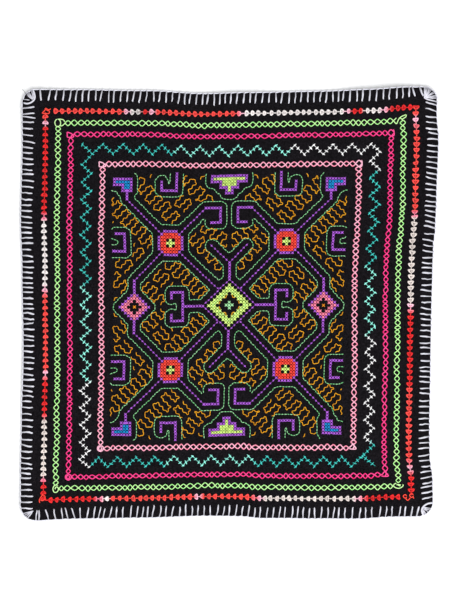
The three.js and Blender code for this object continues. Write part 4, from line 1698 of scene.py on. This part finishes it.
@dataclass(frozen=True)
class CentrePanel:
    """The panel of line work: violet bands, coloured motifs, green outlines and gold meanders."""

    insets: Insets = Insets(85.4, 85.0, 78.6, 75.2)  # Where the panel lies
    cell: float = 2.8  # Size of a cell of the chart
    band: Cross = Cross(0.5, 0.5, 0.5)  # The crosses of the violet bands
    fill: Cross = Cross(0.53, 0.58, 0.4)  # The crosses of the other colours
    slant: Cross = Cross(0.26, 0.55, 0.5)  # The crosses of the violet lines at a slant
    link_radius: float = 0.34  # Radius of the stitch from one of these to the next
    stray: tuple[float, float] = (0.1, 0.12)  # How far a cross strays in a band, and in a line at a slant
    size_spread: float = 0.04  # How far a cross's size varies, as a share
    shade_spread: float = 0.09  # How far its brightness varies
    bare_middle: float = 8  # Half the part in the middle that no green line goes round, in cells
    outline_away: float = 2.2  # Distance of the green outline from the violet stitches' middles, in cells
    outline_grid: float = 0.5  # Size of the squares on which its line is found, in cells
    outline_stitch: float = 2.9  # Length of a stitch of the outline
    outline_least: int = 5  # How many stitches the shortest line has
    outline_step: float = 0.5  # How far its stitches step aside where it runs at a slant
    # How far its stitches' ends stray along the line, and to any side
    outline_stray: tuple[float, float] = (0.16, 0.15)
    # Mean share of the paler green, and how far it varies
    outline_fade: tuple[float, float] = (0.35, 0.3)
    outline_radius: float = 0.38  # Radius of its yarn
    meander_pitch: float = 5.8  # Distance between two arms of a gold line
    meander_arm: tuple[float, float] = (13.2, 3.4)  # Length of an arm and the gap to the next line's arms
    # Length of the shortest arm, and the widest gap bridged, in grid steps
    meander_least: tuple[int, int] = (4, 11)
    meander_grid: float = 0.2  # Size of a grid step along an arm, in cells
    meander_stray: tuple[float, float] = (0.12, 0.06)  # How far its turns stray, in cells, and its points
    meander_radius: float = 0.37  # Radius of its yarn
    # Its lowest height in radii, and how much higher it may be
    meander_rise: tuple[float, float] = (0.55, 0.25)
    meander_shade: float = 0.12  # How far its brightness varies
    meander_clear: float = 0.25  # How far the gold lines keep from the outline's line, in cells
    axis_clear: float = 0.55  # How far they keep from the panel's own axes, in cells
    edge_clear: float = 0.3  # How far they keep from the panel's edge, in cells
    # Length of a ripple of the gold lines and its swing to either side
    ripple: tuple[float, float] = (5.4, 0.75)
    ripple_spread: float = 0.12  # How far a ripple's step varies, in radians
    seed: int = 53  # Start of the random unevenness

    def place(self, lie: ClothLie, chart: Array) -> Array:
        """Turns places on the chart into places on the flat cloth, a little adrift as by hand."""
        side = [Side(lie, self.insets, number) for number in (0, 2)]
        middle = (side[0].start + side[1].start) / 2
        x, y = (np.asarray(chart, dtype=float) * self.cell).T
        adrift = [
            sum(far * np.sin(x / along_x + y / along_y + start) for far, along_x, along_y, start in waves)
            for waves in DRIFTS
        ]
        return middle + np.column_stack([x + adrift[0], y + adrift[1]])

    def half_cells(self, lie: ClothLie) -> Array:
        """Gives half the panel's size, in cells."""
        sides = [Side(lie, self.insets, number).length for number in (0, 1)]
        return np.array(sides) / 2 / self.cell

    def band_cells(self) -> dict[Cell, Dye]:
        """Lists the cross stitches of the bands and motifs of the first quarter by their cell."""
        found = {}
        for band in BANDS:
            for start, end in zip(band, band[1:]):
                start, end = np.array(start), np.array(end)
                count = int(np.abs(end - start).max())
                for k in range(count + 1):
                    found[tuple(start + (end - start) * k / count)] = Dye.VIOLET
        for motif in MOTIFS:
            chart = motif.chart + motif.chart[-2::-1] if motif.halved else motif.chart
            for row, line in enumerate(chart):
                for column, letter in enumerate(line):
                    x = motif.x + column - (len(line) - 1) / 2
                    y = motif.y - row + (len(chart) - 1) / 2
                    if letter != ".":
                        found[(x, y)] = CHART_DYES[letter]
        return found

    def slant_cells(self) -> dict[Cell, Cell]:
        """Lists the linked stitches of the first quarter's diagonals, each with its way."""
        found = {}
        for start, end in DIAGONALS:
            start, end = np.array(start, dtype=float), np.array(end, dtype=float)
            count = int(np.abs(end - start).max())
            step = (end - start) / count
            for k in range(count + 1):
                found[tuple(start + step * k)] = tuple(step)
        return found

    @staticmethod
    def mirrored(cells: dict[Cell, object], half: Array) -> dict[Cell, tuple[object, Array]]:
        """Turns cells over into all four quarters, each once.

        Args:
            cells: What is in the cells of the first quarter.
            half: Half the panel's size, past which cells are left out.

        Returns:
            For each cell what is in it, and the signs of its quarter.
        """
        found = {}
        for signs in QUARTERS:
            for (x, y), value in cells.items():
                key = (round(x * signs[0], 2) + 0.0, round(y * signs[1], 2) + 0.0)
                if (np.abs(key) <= half).all():
                    found.setdefault(key, (value, np.array(signs)))
        return found

    def field(self, points: Array, centres: Array) -> Array:
        """Gives the distance to the nearest stitch, measured as in an octagon.

        Args:
            points: Places on the chart.
            centres: Middles of the stitches of all quarters.

        Returns:
            The distances, in cells.
        """
        nearest = np.full(len(points), np.inf)
        for centre in centres:
            away = np.abs(points - centre)
            octagon = np.maximum(away.max(axis=1), away.sum(axis=1) / math.sqrt(2))
            np.minimum(nearest, octagon, out=nearest)
        return nearest

    def outlines(self, lie: ClothLie, centres: Array) -> list[Array]:
        """Finds the lines that run at an even distance round the stitches.

        Args:
            lie: The cloth.
            centres: Middles of the stitches of all quarters.

        Returns:
            Each line's points on the chart.
        """
        half = self.half_cells(lie)
        form = flat_grid(half, [int(2 * size / self.outline_grid) for size in half])
        places = np.array([vertex.co[:2] for vertex in form.verts])
        for vertex, height in zip(form.verts, self.field(places, centres)):
            vertex.co.z = height
        lines = self._chained(cut(form, (0, 0, self.outline_away), (0, 0, 1), reach=1e-6))
        form.free()
        return lines

    @staticmethod
    def _chained(edges: set[BMEdge]) -> list[Array]:
        """Joins edges that share an end into lines of points."""
        ends: dict[BMVert, list[BMEdge]] = {}
        for edge in edges:
            for vertex in edge.verts:
                ends.setdefault(vertex, []).append(edge)
        order = sorted(ends, key=lambda vertex: (len(ends[vertex]) != 1, vertex.index, *vertex.co))
        left = set(edges)
        lines = []
        for start in order:
            while any(edge in left for edge in ends[start]):
                line = [start]
                while True:
                    onward = sorted(
                        (edge for edge in ends[line[-1]] if edge in left),
                        key=lambda edge: tuple(edge.other_vert(line[-1]).co),
                    )
                    if not onward:
                        break
                    left.discard(onward[0])
                    line.append(onward[0].other_vert(line[-1]))
                lines.append(np.array([vertex.co[:2] for vertex in line]))
        return lines

    def sew_bands(self, skein: Skein, fills: Skein, lie: ClothLie, rng: Random) -> Array:
        """Sews the violet bands and lines and the coloured motifs.

        Args:
            skein: Takes the violet yarn.
            fills: Takes the other colours.
            lie: The cloth.
            rng: Source of the unevenness.

        Returns:
            The middles of the stitches that the green outline goes round, on the chart.
        """
        centres = []
        half = self.half_cells(lie)
        for (x, y), (dye, _) in self.mirrored(self.band_cells(), half).items():
            kind, used = (self.band, skein) if dye is Dye.VIOLET else (self.fill, fills)
            middle = self.place(lie, [(x, y)])[0] + rng.normal(0, self.stray[0], 2)
            colour = dye.linear * rng.normal(1, self.shade_spread)
            reach = self.cell * kind.reach * rng.normal(1, self.size_spread)
            arms = (np.array([reach, reach]), np.array([reach, -reach]))
            used.cross(middle, arms, kind.radius, colour, dark=kind.dark)
            if max(abs(x), abs(y)) > self.bare_middle:
                centres.append((x, y))
        for (x, y), (step, signs) in self.mirrored(self.slant_cells(), half).items():
            middle = self.place(lie, [(x, y)])[0] + rng.normal(0, self.stray[1], 2)
            along = np.array(step) * signs * self.cell
            colour = Dye.VIOLET.linear * rng.normal(1, self.shade_spread)
            skein.stitch(middle - along * 0.5, middle + along * 0.5, self.link_radius, colour)
            arms = (left_of(along) * self.slant.reach, along * self.slant.reach)
            skein.cross(middle, arms, self.slant.radius, colour, dark=self.slant.dark)
            centres.append((x, y))
        return np.array(centres)

    def sew_outlines(self, skein: Skein, lie: ClothLie, centres: Array, rng: Random) -> None:
        """Sews the green back stitches."""
        for line in self.outlines(lie, centres):
            route = self.place(lie, line)
            length = run_of(route)[-1]
            if length < self.outline_least * self.outline_stitch:
                continue
            count = round(length / self.outline_stitch)
            marks = np.linspace(0, length, count + 1)
            marks[1:-1] += rng.normal(0, self.outline_stray[0], count - 1)
            points = points_at(route, marks)
            ways = np.gradient(points, axis=0)
            slant = np.abs(ways).min(axis=1) / np.abs(ways).max(axis=1)
            step = self.outline_step * slant * (-1) ** np.arange(count + 1)
            points += left_of(ways) / self.outline_stitch * step[:, None]
            points += rng.normal(0, self.outline_stray[1], points.shape)
            for start, end in zip(points, points[1:]):
                fade = np.clip(rng.normal(*self.outline_fade), 0, 1)
                colour = Dye.GREEN.mixed(Dye.PALE_GREEN, fade)
                skein.stitch(start, end, self.outline_radius, colour, dark=0.6)

    def meanders(self, lie: ClothLie, centres: Array, rng: Random) -> list[Array]:
        """Lists the gold lines of the first quarter.

        Each runs to and fro at a slant between the outlines, and turns where it comes near one.

        Args:
            lie: The cloth.
            centres: Middles of the stitches of all quarters.
            rng: Source of the unevenness.

        Returns:
            Each line's turns on the chart.
        """
        half = self.half_cells(lie)
        ahead, aside = np.array([(1, -1), (1, 1)]) / math.sqrt(2)
        places = np.arange(-half.sum(), half.sum(), self.meander_grid)
        shortest, widest_gap = self.meander_least
        stray = self.meander_stray[0]
        lines, open_lines = [], []
        for row in range(int(half.sum() / self.meander_pitch * self.cell)):
            points = places[:, None] * ahead + (row + 0.5) * self.meander_pitch / self.cell * aside
            inside = self.field(points, centres) > self.outline_away + self.meander_clear
            inside &= (points > self.axis_clear).all(axis=1)
            inside &= (points < half - self.edge_clear).all(axis=1)
            inside &= (places * self.cell) % sum(self.meander_arm) > self.meander_arm[1]
            ends = np.flatnonzero(np.diff(np.concatenate([[0], inside.astype(int), [0]])))
            going_on = []
            for first, last in zip(ends[0::2], ends[1::2] - 1):
                if last - first < shortest:
                    continue
                enter, leave = (first, last) if row % 2 else (last, first)
                near = [(abs(end - enter), k) for k, (end, _) in enumerate(open_lines)]
                gap, nearest = min(near, default=(widest_gap, 0))
                turns = open_lines.pop(nearest)[1] if gap < widest_gap else []
                turns += [points[end] + rng.normal(0, stray, 2) for end in (enter, leave)]
                going_on.append((leave, turns))
            lines += [turns for _, turns in open_lines]
            open_lines = going_on
        lines += [turns for _, turns in open_lines]
        return [np.array(turns) for turns in lines]

    def rippled(self, turns: Array, rng: Random) -> Array:
        """Rounds the turns of a gold line and lets it ripple, in cells."""
        length, swing = np.array(self.ripple) / self.cell
        route = points_at(turns, np.arange(0, run_of(turns)[-1], length / RIPPLE_STEPS))
        for _ in range(2):
            route[1:-1] = (route[:-2] + 2 * route[1:-1] + route[2:]) / 4
        way = np.gradient(route, axis=0)
        aside = left_of(way) / np.linalg.norm(way, axis=1)[:, None]
        phase = np.cumsum(rng.normal(2 * math.pi / RIPPLE_STEPS, self.ripple_spread, len(route)))
        return route + aside * (swing * np.sin(phase))[:, None]

    def sew_meanders(self, skein: Skein, lie: ClothLie, centres: Array, rng: Random) -> None:
        """Sews the gold lines, turned over into all four quarters."""
        lowest, more = self.meander_rise
        for turns in self.meanders(lie, centres, rng):
            for signs in QUARTERS:
                route = self.place(lie, self.rippled(turns, rng) * signs)
                route += rng.normal(0, self.meander_stray[1], route.shape)
                rise = lowest + more * rng.random(len(route))
                thick = np.full(len(route), self.meander_radius)
                rise[[0, -1]], thick[[0, -1]] = -0.9, 0
                fade = 0.5 + 0.5 * np.sin(np.arange(len(route)) * 0.2 + rng.random() * 6)
                shade = rng.normal(1, self.meander_shade, len(route))
                colours = Dye.GOLD.mixed(Dye.AMBER, fade) * shade[:, None]
                heights = FIELD_TOP + self.meander_radius * rise
                skein.strand(np.column_stack([route, heights]), thick, colours)

    def build(self, lie: ClothLie) -> list[Object]:
        """Sews the panel.

        Args:
            lie: How the cloth lies.

        Returns:
            The bands, the motifs, the outlines and the meanders, each as one piece.
        """
        rng = np.random.default_rng(self.seed)
        bands, fills, outlines, meanders = (Skein(lie) for _ in range(4))
        centres = self.sew_bands(bands, fills, lie, rng)
        self.sew_outlines(outlines, lie, centres, rng)
        self.sew_meanders(meanders, lie, centres, rng)
        return [
            bands.mesh("panel_bands"),
            fills.mesh("panel_motifs"),
            outlines.mesh("panel_outlines"),
            meanders.mesh("panel_meanders"),
        ]


@dataclass(frozen=True)
class Studio:
    """A pale floor, soft light and the camera over the cloth."""

    floor_half: float = 3.0  # Half the floor's size, in metres
    floor_drop: float = 0.0002  # How far the floor lies below the cloth's lowest point, in metres
    view_height: float = 0.5885  # Height of the photograph's frame on the floor, in metres
    aim: tuple[float, float] = (0.0005, -0.00265)  # What the camera looks straight down at, in metres
    lens: float = 85  # Focal length of the camera
    sensor: float = 36  # Its sensor's long side
    floor_tones: tuple[float, float] = (0.93, 0.95)  # Darkest and brightest tone of the floor
    surround: tuple[float, float, float, float] = (0.98, 0.99, 1.0, 1)  # Colour of the surrounding light
    surround_strength: float = 0.76  # Its strength
    lamp_place: tuple[float, float, float] = (0.5, -0.85, 1.6)  # Where the soft light stands, in metres
    lamp_size: float = 1.2  # Its size, in metres
    lamp_power: float = 26  # Its power, in watts

    def floor(self) -> None:
        """Makes the floor with its material."""
        form = bmesh.new()
        bmesh.ops.create_grid(form, x_segments=4, y_segments=4, size=self.floor_half)
        bmesh.ops.translate(form, vec=(0, 0, -self.floor_drop), verts=form.verts)
        mesh = bpy.data.meshes.new("floor")
        form.to_mesh(mesh)
        form.free()
        bench = Finish("pale_floor", roughness=0.9, gloss=0.1)
        tone = bench.span(bench.noise(scale=40.0), *self.floor_tones)
        bench.feed(bench.shader, {"Base Color": tone})
        mesh.materials.append(bench.material)
        floor = bpy.data.objects.new("floor", mesh)
        bpy.context.scene.collection.objects.link(floor)

    def lights(self) -> None:
        """Sets an even white surrounding light and one large soft light to the lower right."""
        world = bpy.data.worlds.new("soft_surround")
        world.use_nodes = True
        light = {"Color": self.surround, "Strength": self.surround_strength}
        Bench(world.node_tree).feed(world.node_tree.nodes["Background"], light)
        bpy.context.scene.world = world
        lamp = bpy.data.lights.new("soft_window", "AREA")
        lamp.shape = "SQUARE"
        lamp.size = self.lamp_size
        lamp.energy = self.lamp_power
        holder = bpy.data.objects.new("soft_window", lamp)
        holder.location = self.lamp_place
        holder.rotation_euler = (-holder.location).to_track_quat("-Z", "Y").to_euler()
        bpy.context.scene.collection.objects.link(holder)

    def camera(self) -> None:
        """Sets the camera straight above the cloth, at the photograph's framing."""
        data = bpy.data.cameras.new("camera")
        data.lens = self.lens
        data.sensor_width = self.sensor
        camera = bpy.data.objects.new("camera", data)
        camera.location = (*self.aim, self.view_height * self.lens / self.sensor)
        bpy.context.scene.collection.objects.link(camera)
        bpy.context.scene.camera = camera

    def set_up(self) -> None:
        """Makes the whole studio, with plain colours that match the eye."""
        self.floor()
        self.lights()
        self.camera()
        bpy.context.scene.view_settings.view_transform = "Standard"


def write_sizes() -> None:
    """Updates the view layer."""
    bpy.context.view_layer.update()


def main() -> None:
    """Builds the cloth, its edging and its embroidery, and sets up the studio."""
    logging.basicConfig(level=logging.INFO, format="%(name)s: %(message)s")
    lie = ClothLie()
    lie.settle("cloth")
    weave, twist, fibre = weave_group(), twist_group(), fibre_group()
    white = YarnFinish("white_yarn", twist=2.6, roughness=0.7).material(twist, fibre)
    coloured = YarnFinish("coloured_yarn").material(twist, fibre)

    cloth = HemmedCloth().build(lie)
    enter(cloth, CottonFinish().material(weave, fibre))
    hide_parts("cloth")

    edging = BlanketEdging().build(lie)
    enter(edging, white)
    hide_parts("edging")

    embroidery = [
        KnottedRow(ROW_INSETS["red"], RED_RUNS).build(lie),
        InterlacedRow(
            "light_green_row", ROW_INSETS["green"], (Dye.LIGHT_GREEN, Dye.SHADED_LIGHT_GREEN), GREEN_CORNERS,
            pitches=(6.1, 5.34), radius=0.48,
        ).build(lie),
        InterlacedRow(
            "hot_pink_row", ROW_INSETS["hot_pink"], (Dye.HOT_PINK, Dye.SHADED_HOT_PINK), PINK_CORNERS,
            half_width=2.25, radius=0.59, seed=32,
        ).build(lie),
        InterlacedRow(
            "pink_row", ROW_INSETS["pink"], (Dye.PALE_PINK, Dye.ROSE), PINK_CORNERS,
            radius=0.59, seed=33,
        ).build(lie),
        ZigzagRow(ROW_INSETS["zigzag"], ZIGZAG_RUNS).build(lie),
        *CentrePanel().build(lie),
    ]
    for piece in embroidery:
        enter(piece, coloured)
    Studio().set_up()
    write_sizes()


if __name__ == "__main__":
    main()
